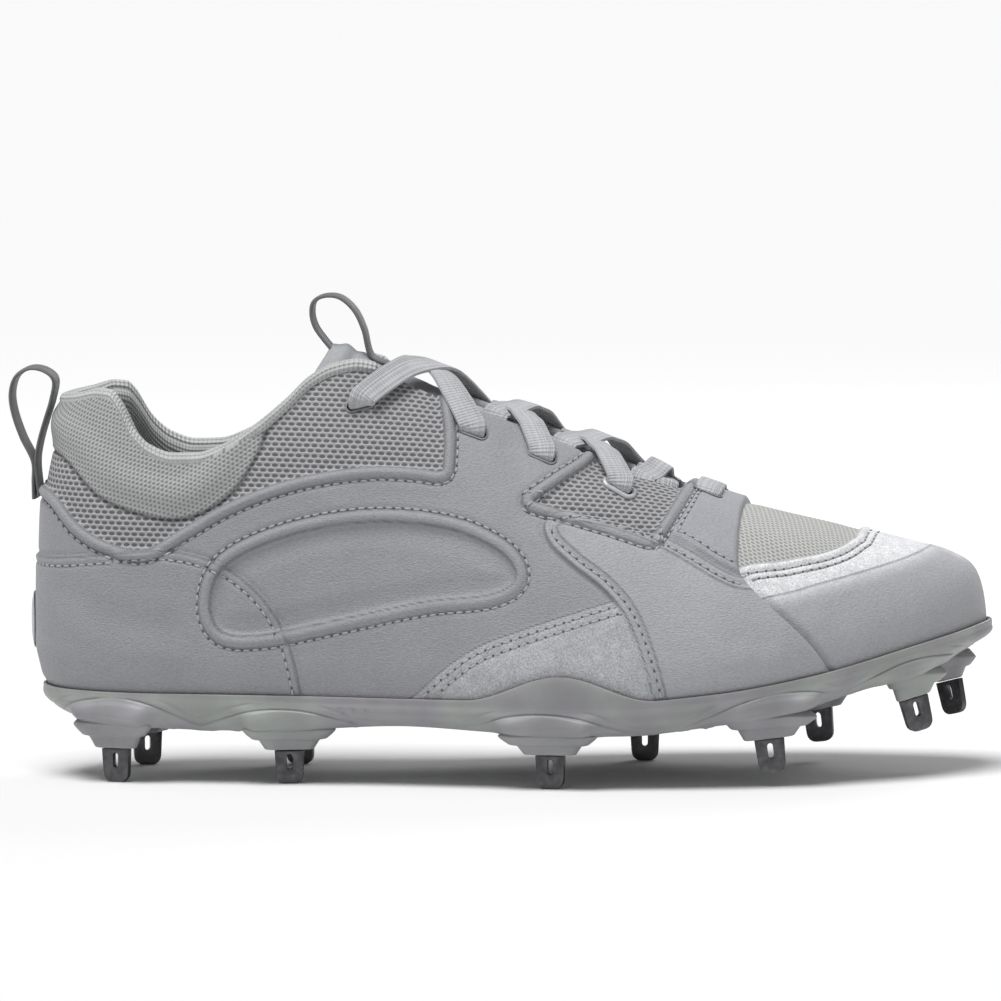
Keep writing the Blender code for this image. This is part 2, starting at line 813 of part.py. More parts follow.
def stud_outlines(foot, seat, lean):
    """A blade's outline, with rounded lower corners, and its slot's, across and up, leant at the seat."""
    half, top_half, round_end = STUD_WIDTH / 2, STUD_WIDTH / 2 * STUD_TAPER, SLOT_WIDTH / 2
    right = arc((half - STUD_CORNER, foot + STUD_CORNER), STUD_CORNER, -90, 90)
    right.append((top_half, seat - GAP))
    left = [(-u, v) for u, v in reversed(right)]
    low = foot + SLOT_ABOVE_FOOT + round_end
    high = foot + SLOT_ABOVE_FOOT + SLOT_LENGTH - round_end
    slot = arc((0, high), round_end, 0, 180) + arc((0, low), round_end, 180, 180)
    turned = []
    for points in (right + left, slot):
        turned.append(
            [
                (
                    u * math.cos(lean) - (v - seat) * math.sin(lean),
                    seat + u * math.sin(lean) + (v - seat) * math.cos(lean),
                )
                for u, v in points
            ]
        )
    return turned


def make_studs(pieces):
    """The steel blades: flat, with rounded corners and a slot, each a little under its lug's face."""
    for stud in STUDS:
        name = "stud_" + stud[0]
        x, y, foot, seat = stud_place(stud)
        curve = bpy.data.curves.new(name, "CURVE")
        curve.dimensions = "2D"
        curve.fill_mode = "BOTH"
        curve.extrude = STUD_THICKNESS / 2
        for points in stud_outlines(foot, seat, math.radians(stud[STUD_COLUMNS.index("lean")])):
            spline = curve.splines.new("POLY")
            spline.points.add(len(points) - 1)
            for place, (u, v) in zip(spline.points, points):
                place.co = (u, v, 0, 1)
            spline.use_cyclic_u = True
        blade = new_object(name, curve, pieces, STEEL, 0.3, 1.0)
        turn = math.radians(stud[STUD_COLUMNS.index("turn")])
        blade.location = (x, y, 0)
        blade.rotation_euler = (math.pi / 2, 0, turn)


def eyelet_cutters():
    """Ten slots through the eyestays, turned square to the laces."""
    parts = []
    for share, below, turn in EYELETS:
        for side in (LATERAL, MEDIAL):
            across = side * (edge_across(share) + below)
            centre, normal = over_last(share, across, 0)
            forward = Vector((1, 0, -0.35)).normalized()
            forward = (forward - normal * forward.dot(normal)).normalized()
            down = normal.cross(forward).normalized()
            angle = math.radians(turn)
            long_way = forward * math.cos(angle) + down * math.sin(angle)
            short_way = normal.cross(long_way)
            bm = bmesh.new()
            rings = []
            for depth in (-EYELET_DEPTH, EYELET_DEPTH):
                ring = []
                for k in range(8):
                    phase = 2 * math.pi * (k + 0.5) / 8
                    ring.append(
                        centre
                        + normal * depth
                        + long_way * (EYELET_LENGTH / 2 * math.cos(phase))
                        + short_way * (EYELET_WIDTH / 2 * math.sin(phase))
                    )
                rings.append(ring)
            closed_rings(bm, rings)
            parts.append(bm)
    return joined(parts, "eyelets")


def make_upper(pieces, eyelets):
    upper = new_object("upper", mesh_from(lasted_surface(), "upper"), pieces, MESH_WHITE, 0.8)
    solidify(upper, WALL, -1)
    boolean(upper, "eyelets", "DIFFERENCE", eyelets)


def make_overlays(pieces, cutters, eyelets):
    """Smooth layers over the wall, cut from the last's own surface by outlines in the side view."""
    rows = (
        ("quarter_overlay", QUARTER_OUTLINE, QUARTER_WINDOWS, OVERLAY_GREY),
        ("toe_overlay", TOE_OUTLINE, (), OVERLAY_GREY),
    )
    for name, outline, windows, colour in rows:
        layer = new_object(name, mesh_from(lasted_surface_at(GAP), name), pieces, colour, 0.5)
        solidify(layer, OVERLAY_THICKNESS, 1)
        keep = helper(name + "_outline", side_prism(outline, OUTLINE_REACH), cutters)
        for number, window in enumerate(windows):
            hole = helper(
                "%s_window_%d" % (name, number), side_prism(window, 1.1 * OUTLINE_REACH), cutters
            )
            boolean(keep, "window %d" % number, "DIFFERENCE", hole)
        if name == "quarter_overlay":
            boolean(keep, "eyelets", "DIFFERENCE", eyelets)
        boolean(layer, "outline", "INTERSECT", keep)


def make_insole(pieces):
    def flat(share, side):
        return 0.0

    def level(lift):
        return lambda share, side: float(feather_height(share)) + lift

    inset = WALL + INSOLE_CLEARANCE
    rings = [
        plan_loop(flat, -inset - 0.0008, level(0.0)),
        plan_loop(flat, -inset, level(0.35 * INSOLE_THICKNESS)),
        plan_loop(flat, -inset - 0.0010, level(INSOLE_THICKNESS)),
    ]
    bm = bmesh.new()
    closed_rings(bm, rings, cap_columns=True)
    new_object("insole", mesh_from(bm, "insole"), pieces, INSOLE_GREY, 0.8)


def make_collar_padding(pieces):
    """Foam inside the collar, rolled over the wall's top edge, thinning out towards the throat."""
    end = PAD_FRONT / UPPER_LENGTH
    stations = [share for share in station_shares() if share <= end]
    walk = [(share, LATERAL) for share in reversed(stations)]
    walk += [(share, MEDIAL) for share in stations[1:]]
    inner = WALL + PAD_CLEARANCE
    rings = []
    for share, side in walk:
        fade = 1 - 0.72 * (share / end) ** 3
        depth = PAD_HEIGHT * fade
        swell = PAD_THICKNESS * (1 - 0.45 * (share / end) ** 3)
        top = float(edge_height(share))
        section_points = (
            (0.0, PAD_CLEARANCE),
            (0.2 * (inner + swell), PAD_CLEARANCE + PAD_ROLL * 0.85),
            (0.55 * (inner + swell), PAD_CLEARANCE + PAD_ROLL),
            (0.88 * (inner + swell), PAD_CLEARANCE + 0.3 * PAD_ROLL),
            (inner + swell, -0.22 * depth),
            (inner + swell * 0.92, -0.60 * depth),
            (inner + swell * 0.35, -0.97 * depth),
            (inner, -depth),
            (inner, -0.5 * depth),
            (inner, PAD_CLEARANCE),
        )
        ring = []
        for inward, rise in section_points:
            base = wall_point(share, side, top + min(rise, 0.0))
            normal = wall_normal_at(share, side, top + min(rise, 0.0))
            point = base - normal * inward
            point.z += max(rise, 0.0)
            ring.append(point)
        rings.append(ring)
    bm = bmesh.new()
    closed_rings(bm, rings)
    new_object("collar_padding", mesh_from(bm, "collar_padding"), pieces, PAD_GREY, 0.9)


def wall_normal_at(share, side, height):
    """The outward direction, level at the very back of the heel where both sides meet."""
    if share < 0.004:
        rise = wall_point(0.0, side, height + 0.001) - wall_point(0.0, side, height - 0.001)
        return Vector((-rise.z, 0, rise.x)).normalized()
    return wall_normal(share, side, height)


def make_tongue(pieces):
    """A band under the throat, padded at the top, where it rises out of the collar and rounds off."""
    deep = WALL + GAP + TONGUE_DEPTH
    outer, inner = [], []
    rounding_from, rounding = TONGUE_ROUNDING
    for i in range(TONGUE_STEPS + 1):
        t = i / TONGUE_STEPS
        widening = TONGUE_NARROW + (1 - TONGUE_NARROW) * min(1.0, TONGUE_WIDENING * t)
        narrowing = 1 - rounding * max(0, t - rounding_from) / (1 - rounding_from)
        reach = TONGUE_HALF * widening * narrowing
        thick = TONGUE_THICKNESS * (1 + TONGUE_SWELL * t * t)
        if i in (0, TONGUE_STEPS):
            thick *= TONGUE_END
        row_out, row_in = [], []
        for j in range(TONGUE_COLUMNS + 1):
            u = -1 + 2 * j / TONGUE_COLUMNS
            stop = TONGUE_TOP - TONGUE_WINGS * abs(u) ** TONGUE_WING_POWER
            along = TONGUE_FRONT + (stop - TONGUE_FRONT) * t
            share = along / UPPER_LENGTH
            edge = TONGUE_EDGE if abs(u) == 1 else 1.0
            point, normal = over_last(share, u * reach, -deep)
            sink = (1 - edge) * thick * 0.5
            row_out.append(point - normal * sink)
            row_in.append(point - normal * (sink + thick * edge))
        outer.append(row_out)
        inner.append(row_in)
    bm = bmesh.new()
    rings = [row_out + row_in[::-1] for row_out, row_in in zip(outer, inner)]
    closed_rings(bm, rings)
    new_object("tongue", mesh_from(bm, "tongue"), pieces, OVERLAY_GREY, 0.7)


def lace_path(start, end):
    """Points and directions of one lace run; each end is (share, signed distance over the last, offset)."""
    points, normals = [], []
    for k in range(LACE_STEPS + 1):
        t = k / LACE_STEPS
        share = start[0] + (end[0] - start[0]) * t
        across = start[1] + (end[1] - start[1]) * t
        ends = start[2] if t < 0.5 else end[2]
        rise = min(1.0, abs(2 * t - 1) / LACE_DIP)
        offset = LACE_CLEARANCE + (ends - LACE_CLEARANCE) * rise * rise * (3 - 2 * rise)
        point, normal = over_last(share, across, offset)
        points.append(point)
        normals.append(normal)
    return points, normals


def make_laces(pieces, cutters):
    """A bar over the front of the throat, three crossings that dive under the far edge, and a top one."""
    above = GAP + OVERLAY_THICKNESS + LACE_CLEARANCE

    def on_eyestay(number, side):
        share, below, _ = EYELETS[number]
        return (share, side * (edge_across(share) + below - 0.5 * EYELET_WIDTH), above)

    def at_edge(number, side, lead=LACE_EDGE_LEAD):
        share = EYELETS[number][0] + lead
        return (share, side * (edge_across(share) - LACE_EDGE_SPACE), -LACE_SINK)

    rows = [("lace_bar", [(on_eyestay(0, LATERAL), on_eyestay(0, MEDIAL))])]
    rows.append(
        (
            "lace_crossing_1",
            [
                (at_edge(0, side, -LACE_BAR_LEAD), at_edge(1, -side))
                for side in (LATERAL, MEDIAL)
            ],
        )
    )
    for number in (1, 2):
        runs = [(on_eyestay(number, side), at_edge(number + 1, -side)) for side in (LATERAL, MEDIAL)]
        rows.append(("lace_crossing_%d" % (number + 1), runs))
    runs = [(on_eyestay(3, side), on_eyestay(4, -side)) for side in (LATERAL, MEDIAL)]
    rows.append(("lace_crossing_4", runs))
    for name, runs in rows:
        strips = []
        for number, (start, end) in enumerate(runs):
            points, normals = lace_path(start, end)
            lift = LACE_OVERLAP_LIFT * LACE_THICKNESS * number
            points = [point + normal * lift for point, normal in zip(points, normals)]
            strips.append(strip(points, normals, LACE_WIDTH, LACE_THICKNESS))
        lace = new_object(name, mesh_from(strips[0], name), pieces, LACE_GREY, 0.9)
        for other in strips[1:]:
            boolean(lace, "other run", "UNION", helper(name + "_other", other, cutters))


def make_loops(pieces):
    """Ribbon loops at the back of the collar and at the tongue's top."""
    top = wall_point(0.0, LATERAL, float(edge_height(0.0)))
    stand_off = GAP + OVERLAY_THICKNESS + PAD_CLEARANCE
    heel = []
    for below in (HEEL_LOOP_FOOT, 0.8 * HEEL_LOOP_FOOT):
        wall = wall_point(0.0, LATERAL, top.z - below)
        heel.append((wall.x - stand_off, wall.z))
    heel += [(top.x + x, top.z + z) for x, z in HEEL_LOOP_ROUTE]
    heel.append((top.x + LOOP_END_INWARD, top.z + PAD_ROLL + 2 * PAD_CLEARANCE))

    deep = WALL + GAP + TONGUE_DEPTH
    tip = over_last(TONGUE_TOP / UPPER_LENGTH, 0, -deep)[0]
    tongue = []
    for reach in TONGUE_LOOP_REACH:
        lying = over_last((TONGUE_TOP + reach) / UPPER_LENGTH, 0, PAD_CLEARANCE - deep)[0]
        tongue.append((lying.x, lying.z))
    tongue += [(tip.x + x, tip.z + z) for x, z in TONGUE_LOOP_ROUTE]

    rows = (
        ("heel_pull_loop", heel, HEEL_LOOP_WIDTH, 0.0),
        ("tongue_pull_loop", tongue, TONGUE_LOOP_WIDTH, tip.y),
    )
    for name, route, width, across in rows:
        line = rounded(route, LOOP_STEPS)
        points = [Vector((x, across, z)) for x, z in line]
        normals = []
        for number in range(len(points)):
            ahead = points[min(number + 1, len(points) - 1)] - points[max(number - 1, 0)]
            normals.append(Vector((-ahead.z, 0, ahead.x)).normalized())
        if name == "tongue_pull_loop":
            normals = [-normal for normal in normals]
        bm = strip(points, normals, width, LOOP_THICKNESS)
        new_object(name, mesh_from(bm, name), pieces, PAD_GREY, 0.7)


def make_badge(pieces):
    """A plain low dome on the back of the heel."""
    bm = bmesh.new()
    bmesh.ops.create_uvsphere(
        bm, u_segments=BADGE_SEGMENTS, v_segments=BADGE_RINGS, radius=BADGE_THICKNESS / 2
    )
    height = float(feather_height(0.0)) + BADGE_ABOVE_FEATHER
    back = wall_point(0.0, LATERAL, height)
    for vertex in bm.verts:
        x, y, z = vertex.co
        y, z = y * BADGE_BREADTH / BADGE_THICKNESS, z * BADGE_HEIGHT / BADGE_THICKNESS
        wrap = y * y / (2 * HEEL_ROUNDING)
        vertex.co = (
            back.x - 2 * GAP - OVERLAY_THICKNESS - BADGE_THICKNESS / 2 + x + wrap,
            y,
            height + z,
        )
    new_object("heel_badge", mesh_from(bm, "heel_badge"), pieces, OVERLAY_GREY, 0.4)


def centre_on_ground(pieces, cutters):
    """Carries every piece and cutter on one empty that puts the origin at the shoe's bottom centre."""
    graph = bpy.context.evaluated_depsgraph_get()
    corners = []
    for obj in pieces.objects:
        seen = obj.evaluated_get(graph)
        mesh = seen.to_mesh()
        corners += [seen.matrix_world @ vertex.co for vertex in mesh.vertices]
        seen.to_mesh_clear()
    places = np.array(corners)
    low, high = places.min(axis=0), places.max(axis=0)
    carrier = bpy.data.objects.new("carrier", None)
    pieces.objects.link(carrier)
    for obj in list(pieces.objects) + list(cutters.objects):
        if obj != carrier:
            obj.parent = carrier
    carrier.location = (-(low[0] + high[0]) / 2, -(low[1] + high[1]) / 2, -low[2])


def main():
    for obj in list(bpy.data.objects):
        bpy.data.objects.remove(obj, do_unlink=True)
    pieces = bpy.data.collections.new("baseball_cleat")
    cutters = bpy.data.collections.new("cutters")
    for collection in (pieces, cutters):
        bpy.context.scene.collection.children.link(collection)

    make_outsole(pieces, cutters)
    make_studs(pieces)
    eyelets = helper("eyelets", eyelet_cutters(), cutters)
    make_upper(pieces, eyelets)
    make_overlays(pieces, cutters, eyelets)
    make_insole(pieces)
    make_collar_padding(pieces)
    make_tongue(pieces)
    make_laces(pieces, cutters)
    make_loops(pieces)
    make_badge(pieces)
    centre_on_ground(pieces, cutters)


main()
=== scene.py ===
"""Baseball cleat, right shoe, empty and laced, standing on its studs on a plain pale floor."""

import math

import bpy
import numpy as np
from mathutils import Matrix, Vector


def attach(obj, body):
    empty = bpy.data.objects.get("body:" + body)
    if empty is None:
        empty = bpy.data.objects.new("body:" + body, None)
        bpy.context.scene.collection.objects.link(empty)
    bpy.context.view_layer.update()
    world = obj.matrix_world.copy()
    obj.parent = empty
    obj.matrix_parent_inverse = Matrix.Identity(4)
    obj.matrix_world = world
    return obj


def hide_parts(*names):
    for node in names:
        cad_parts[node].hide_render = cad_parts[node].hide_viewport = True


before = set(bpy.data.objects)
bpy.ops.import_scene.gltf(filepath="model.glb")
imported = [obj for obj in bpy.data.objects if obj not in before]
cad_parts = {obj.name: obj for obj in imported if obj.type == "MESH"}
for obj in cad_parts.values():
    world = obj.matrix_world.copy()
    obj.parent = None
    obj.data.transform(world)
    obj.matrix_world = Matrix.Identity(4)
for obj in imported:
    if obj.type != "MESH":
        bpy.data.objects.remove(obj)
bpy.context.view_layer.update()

# Where the last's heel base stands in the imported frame
CARRIER = np.array((-0.144447, 0.000712, 0.0))

# The last, in metres, as the CAD solids have it
UPPER_LENGTH = 0.295
BALL_BREADTH = 0.098
RIDGE_HEIGHT = 0.1120
HEEL_COLLAR_HEIGHT = 0.090
FEATHER_TUCK = 0.0024
TUCK_HEIGHT = 0.014
HEEL_CURVE_REACH = 0.060
SOLE_STACK = 0.0263
HEEL_LIFT = 0.0026
TOE_SPRING = 0.0192
PLATE_DEPTH = 0.0090
WALL = 0.0024
GAP = 0.0003
OVERLAY = 0.0011
LATERAL, MEDIAL = -1, 1
BOTH_SIDES = (LATERAL, MEDIAL)
MM = 0.001
RIM_FOOT = 3.8 * MM

LAST_COLUMNS = ("station", "middle", "breadth", "ridge", "width_power", "height_power")
LAST = (
    (0.000, 0.000, 0.000, 0.982, 2.00, 2.40), (0.033, 0.000, 0.440, 0.986, 2.00, 2.40),
    (0.085, 0.000, 0.580, 0.992, 2.00, 2.40), (0.150, 0.000, 0.636, 1.000, 2.00, 2.40),
    (0.250, -0.018, 0.660, 1.006, 2.00, 2.35), (0.300, -0.026, 0.670, 1.006, 2.00, 2.30),
    (0.333, -0.032, 0.680, 0.997, 2.00, 2.25), (0.367, -0.036, 0.700, 0.961, 2.00, 2.15),
    (0.410, -0.038, 0.745, 0.906, 1.97, 2.00), (0.467, -0.034, 0.825, 0.841, 1.95, 1.88),
    (0.523, -0.028, 0.910, 0.780, 1.95, 1.88), (0.590, -0.018, 0.972, 0.703, 1.98, 1.95),
    (0.650, -0.008, 0.992, 0.627, 2.00, 2.05), (0.725, 0.006, 0.985, 0.530, 2.05, 2.15),
    (0.787, 0.024, 0.935, 0.459, 2.10, 2.20), (0.850, 0.054, 0.835, 0.385, 2.15, 2.30),
    (0.923, 0.094, 0.650, 0.283, 2.20, 2.40), (0.967, 0.126, 0.470, 0.215, 2.20, 2.45),
    (0.988, 0.145, 0.290, 0.162, 2.20, 2.45), (1.000, 0.158, 0.000, 0.000, 2.20, 2.45),
)
FEATHER_COLUMNS = ("station", "lift", "spring")
FEATHER = (
    (0.000, 1.000, 0.000), (0.170, 0.620, 0.000), (0.400, 0.000, 0.000), (0.640, 0.000, 0.000),
    (0.733, 0.000, 0.110), (0.840, 0.000, 0.380), (0.937, 0.000, 0.760), (1.000, 0.000, 1.000),
)
PLATE_COLUMNS = ("station", "depth")
PLATE = (
    (0.000, 0.800), (0.040, 0.940), (0.180, 1.200), (0.300, 1.000), (0.400, 0.800), (0.500, 0.940),
    (0.610, 1.040), (0.720, 0.960), (0.860, 0.880), (0.960, 0.840), (1.000, 0.600),
)
EDGE_COLUMNS = ("station", "height")
EDGE = (
    (0.000, 0.992), (0.027, 1.006), (0.053, 1.024), (0.070, 1.020), (0.085, 0.985), (0.107, 0.888),
    (0.127, 0.838), (0.153, 0.813), (0.182, 0.817), (0.207, 0.846), (0.240, 0.913), (0.277, 1.016),
    (0.297, 1.082), (0.323, 1.132), (0.347, 1.147), (0.363, 1.138), (0.378, 1.121), (0.400, 1.090),
    (0.437, 1.040), (0.480, 0.982), (0.515, 0.941), (0.548, 0.894), (0.590, 0.836), (0.630, 0.776),
    (0.667, 0.734), (0.693, 0.702), (0.713, 0.679), (0.725, 0.662),
)
HEEL_COLUMNS = ("height", "lean")
HEEL = (
    (0.00, 0.0026), (0.07, 0.0010), (0.16, -0.0004), (0.36, 0.0000), (0.58, 0.0007), (0.71, 0.0020),
    (0.80, 0.0040), (0.89, 0.0058), (0.96, 0.0072), (1.02, 0.0096),
)
STUD_COLUMNS = ("name", "station", "across", "turn", "lean", "lug_size")
STUDS = (
    ("heel_rear_lateral", 0.088, -0.235, -18, 0, 0.84),
    ("heel_rear_medial", 0.097, 0.240, 18, 0, 0.84),
    ("heel_front_lateral", 0.275, -0.255, 8, 0, 0.92),
    ("heel_front_medial", 0.262, 0.275, -8, 0, 0.88),
    ("ball_rear_lateral", 0.559, -0.404, -8, 0, 1.00),
    ("ball_rear_medial", 0.630, 0.370, 8, 0, 1.00),
    ("ball_front_lateral", 0.788, -0.385, 8, 6, 0.94),
    ("ball_front_medial", 0.816, 0.330, -6, 6, 0.90),
    ("toe_lateral", 0.932, -0.185, 26, 14, 0.66),
    ("toe_medial", 0.962, 0.085, -34, 14, 0.56),
)
# Lace slots: station, distance below the edge in metres, and turn in degrees
EYELETS = (
    (0.715, 0.0085, -8), (0.628, 0.0088, -12), (0.546, 0.0095, -6), (0.473, 0.0095, -4),
    (0.354, 0.0135, 34),
)

# Panel lines in the side view, as (x, z) in millimetres from the heel and the ground: the sewn line
# itself, then the points that close it where no line shows
COLLAR_MESH = (
    [
        (-6, 92.5), (6, 90.4), (15.9, 80.8), (25.9, 75.4), (37, 73.6), (48.5, 80), (62.6, 87.8),
        (77.9, 93.9), (93.2, 97.6), (108.3, 99.3), (121, 98.8), (129.8, 97.6), (130.6, 98.2),
        (130.9, 99.2), (130.6, 109), (128.0, 120.5), (126.2, 128), (124, 150),
    ],
    [(124, 175), (-20, 175), (-20, 92.5)],
)
COLLAR_PAD = (
    [
        (-6, 104), (8.8, 101.9), (22.3, 89.9), (39.3, 83.9), (52.2, 84.2), (64.5, 91.7),
        (72.5, 104), (75, 113), (78, 130),
    ],
    [(78, 175), (-20, 175), (-20, 104)],
)
THROAT_MESH = (
    [
        (181, 135), (180, 108), (176.5, 99.5), (168.5, 94.2), (160.6, 89.0), (160.2, 88.6),
        (160.6, 88.2), (169, 85.6), (182.2, 81.4), (195.2, 76.9), (196.0, 77.1), (196.6, 77.8),
        (201.5, 86), (205.4, 95), (207, 103), (207, 130),
    ],
    [(207, 175), (181, 175)],
)
QUARTER_RECESS = (
    [
        (58, 57), (63, 69), (82, 78), (108, 82.5), (133, 80.5), (150, 73.5), (155, 65.5),
        (147, 60.5), (126, 58), (100, 52.5), (76, 47.5), (62, 48),
    ],
    None,
)
FOREFOOT_BAND = (
    [
        (262, 62), (241, 63), (226, 64.2), (219.1, 66.4), (205, 74.1), (187.5, 81.4), (172, 84.8),
        (164, 82.5), (165, 76.5), (172.5, 69.5), (182.1, 62.4), (189.8, 53.5), (195, 41.2),
        (198.3, 28.3), (199, 15),
    ],
    [(262, 15)],
)
THROAT_PATCH = (
    [(209.5, 130), (209, 100), (206.5, 88), (202.5, 78.5), (207, 75.5), (221, 67.6), (240, 60)],
    [(240, 130)],
)
RAND = (
    [(104, 16), (121.7, 28.5), (132, 37), (143, 44.2), (158, 50.0), (181, 57.2), (205, 64)],
    [(205, 16)],
)
HEEL_COUNTER = (
    [(87, 16), (86, 30), (82, 46), (73, 60), (59, 69.5), (42, 73), (24, 71.5), (8, 70), (-6, 70)],
    [(-20, 70), (-20, 16)],
)
VAMP_MESH = (
    [
        (212, 67.0), (223, 68.2), (238, 69.4), (249.5, 71.0), (255.6, 73.4), (257.6, 77), (258, 100),
    ],
    [(258, 175), (212, 175)],
)
TOE_CAP = (
    [
        (214, 57.6), (232.6, 58.8), (248.7, 62.2), (266.5, 66.2), (277, 69.0), (283.4, 72.6),
        (286, 80), (286, 100),
    ],
    [(330, 100), (330, 0), (214, 0)],
)
FRONT_LINE = [
    (252.9, 26), (252.7, 33.3), (247.2, 42.8), (240.9, 49.7), (232.2, 57.6), (224.5, 66), (222.9, 75),
    (222.4, 90), (222.4, 120),
]

# Creases: points in the side view, half width in millimetres and depth, positive for a trough
CREASES = (
    ([(206, 70), (215, 60), (222, 47)], 5.0, 0.35),
    ([(214, 70), (224, 60), (232, 46)], 4.5, 0.28),
    ([(228, 75), (236, 68), (244, 56)], 5.0, 0.25),
    ([(12, 60), (26, 52), (44, 49)], 6.0, 0.30),
    ([(96, 96), (112, 90), (132, 90)], 6.0, 0.25),
    ([(150, 112), (153, 98), (160, 84)], 5.0, 0.30),
)


def column(table, columns, name):
    return [row[columns.index(name)] for row in table]


def unit(rows):
    return rows / np.maximum(np.linalg.norm(rows, axis=-1, keepdims=True), 1e-12)


def lengths(line):
    """Length along a line of points, from its first point to each."""
    return np.concatenate([[0], np.cumsum(np.linalg.norm(np.diff(line, axis=0), axis=1))])


def catmull_rom(before, start, end, after, t):
    """Places between two points of a smooth line, with the points before and after them."""
    return 0.5 * (
        2 * start
        + (end - before) * t
        + (2 * before - 5 * start + 4 * end - after) * t**2
        + (3 * start - before - 3 * end + after) * t**3
    )


def smooth_through(xs, ys, at):
    """A monotone cubic through the points (xs, ys), read at the values at."""
    xs, ys = np.asarray(xs, float), np.asarray(ys, float)
    at = np.clip(np.asarray(at, float), xs[0], xs[-1])
    step = np.diff(xs)
    slope = np.diff(ys) / step
    tangent = np.zeros(len(xs))
    tangent[0], tangent[-1] = slope[0], slope[-1]
    for k in range(1, len(xs) - 1):
        if slope[k - 1] * slope[k] > 0:
            before, after = 2 * step[k] + step[k - 1], step[k] + 2 * step[k - 1]
            tangent[k] = (before + after) / (before / slope[k - 1] + after / slope[k])
    k = np.clip(np.searchsorted(xs, at, side="right") - 1, 0, len(xs) - 2)
    t = (at - xs[k]) / step[k]
    return (
        (1 + 2 * t) * (1 - t) ** 2 * ys[k]
        + t * (1 - t) ** 2 * step[k] * tangent[k]
        + t * t * (3 - 2 * t) * ys[k + 1]
        + t * t * (t - 1) * step[k] * tangent[k + 1]
    )


def end_angle(share):
    return np.arccos(np.clip(1 - 2 * np.asarray(share, float), -1, 1)) / math.pi


def last_value(name, share):
    stations = end_angle(column(LAST, LAST_COLUMNS, "station"))
    return smooth_through(stations, column(LAST, LAST_COLUMNS, name), end_angle(share))


def table_value(table, columns, name, share):
    """A column of a table, read smoothly at a share; the table's first column is where its rows lie."""
    return smooth_through(column(table, columns, columns[0]), column(table, columns, name), share)


def feather_height(share):
    lift = table_value(FEATHER, FEATHER_COLUMNS, "lift", share)
    spring = table_value(FEATHER, FEATHER_COLUMNS, "spring", share)
    return SOLE_STACK + HEEL_LIFT * lift + TOE_SPRING * spring


def edge_height(share):
    return feather_height(share) + HEEL_COLLAR_HEIGHT * table_value(EDGE, EDGE_COLUMNS, "height", share)


def plate_depth(share):
    return PLATE_DEPTH * table_value(PLATE, PLATE_COLUMNS, "depth", share)


def section(share, steps=240):
    """Half of the last's section: half breadths and heights, feather to ridge."""
    half = 0.5 * BALL_BREADTH * float(last_value("breadth", share))
    rise = RIDGE_HEIGHT * float(last_value("ridge", share))
    wide = float(last_value("width_power", share))
    tall = float(last_value("height_power", share))
    angle = np.linspace(0, math.pi / 2, steps)
    up = rise * np.sin(angle) ** (2 / tall)
    out = half * np.abs(np.cos(angle)) ** (2 / wide)
    tuck = FEATHER_TUCK * min(1.0, half / TUCK_HEIGHT)
    out = out - tuck * np.clip(1 - up / TUCK_HEIGHT, 0, 1) ** 2
    out[-1] = 0.0
    return np.maximum(out, 0.0), up


def heel_lean(share, up):
    lean = table_value(HEEL, HEEL_COLUMNS, "lean", np.asarray(up) / HEEL_COLLAR_HEIGHT)
    return lean * np.maximum(0.0, 1 - np.asarray(share) * UPPER_LENGTH / HEEL_CURVE_REACH) ** 2


TABLE_STATIONS = 640
TABLE_ROWS = 280


def measured_last():
    """The last read once as a fine table: for both sides, stations by rows from feather to ridge."""
    shares = (1 - np.cos(math.pi * np.linspace(0, 1, TABLE_STATIONS))) / 2
    points = np.zeros((2, TABLE_STATIONS, TABLE_ROWS, 3))
    runs = np.zeros(TABLE_STATIONS)
    for k, share in enumerate(shares):
        out, up = section(share)
        run = np.concatenate([[0], np.cumsum(np.hypot(np.diff(out), np.diff(up)))])
        at = np.linspace(0, run[-1], TABLE_ROWS)
        out, up = np.interp(at, run, out), np.interp(at, run, up)
        runs[k] = run[-1]
        middle = BALL_BREADTH * float(last_value("middle", share))
        for row, side in enumerate(BOTH_SIDES):
            points[row, k, :, 0] = share * UPPER_LENGTH + heel_lean(share, up)
            points[row, k, :, 1] = middle + side * out
            points[row, k, :, 2] = float(feather_height(share)) + up
    normals = np.zeros_like(points)
    for row, side in enumerate(BOTH_SIDES):
        along = np.gradient(points[row], axis=0)
        rise = np.gradient(points[row], axis=1)
        normal = -side * np.cross(along, rise)
        length = np.linalg.norm(normal, axis=-1, keepdims=True)
        normal = np.where(length > 1e-14, normal / np.maximum(length, 1e-14), (1.0, 0, 0))
        normal[:, -1, 1] = 0.0
        normal[0, :, 1] = 0.0
        normals[row] = normal / np.maximum(np.linalg.norm(normal, axis=-1, keepdims=True), 1e-9)
    return shares, points, normals, runs


SHARES, LAST_POINTS, LAST_NORMALS, LAST_RUNS = measured_last()


def read_table(table, share, way, side):
    """Reads a table of the last between its rows: way is 0 at the feather and 1 at the ridge."""
    t = end_angle(share) * (TABLE_STATIONS - 1)
    w = np.clip(way, 0, 1) * (TABLE_ROWS - 1)
    row = (np.asarray(side) > 0).astype(int)
    k = np.clip(np.floor(t).astype(int), 0, TABLE_STATIONS - 2)
    j = np.clip(np.floor(w).astype(int), 0, TABLE_ROWS - 2)
    a, b = (t - k)[..., None], (w - j)[..., None]
    return (
        table[row, k, j] * (1 - a) * (1 - b)
        + table[row, k + 1, j] * a * (1 - b)
        + table[row, k, j + 1] * (1 - a) * b
        + table[row, k + 1, j + 1] * a * b
    )


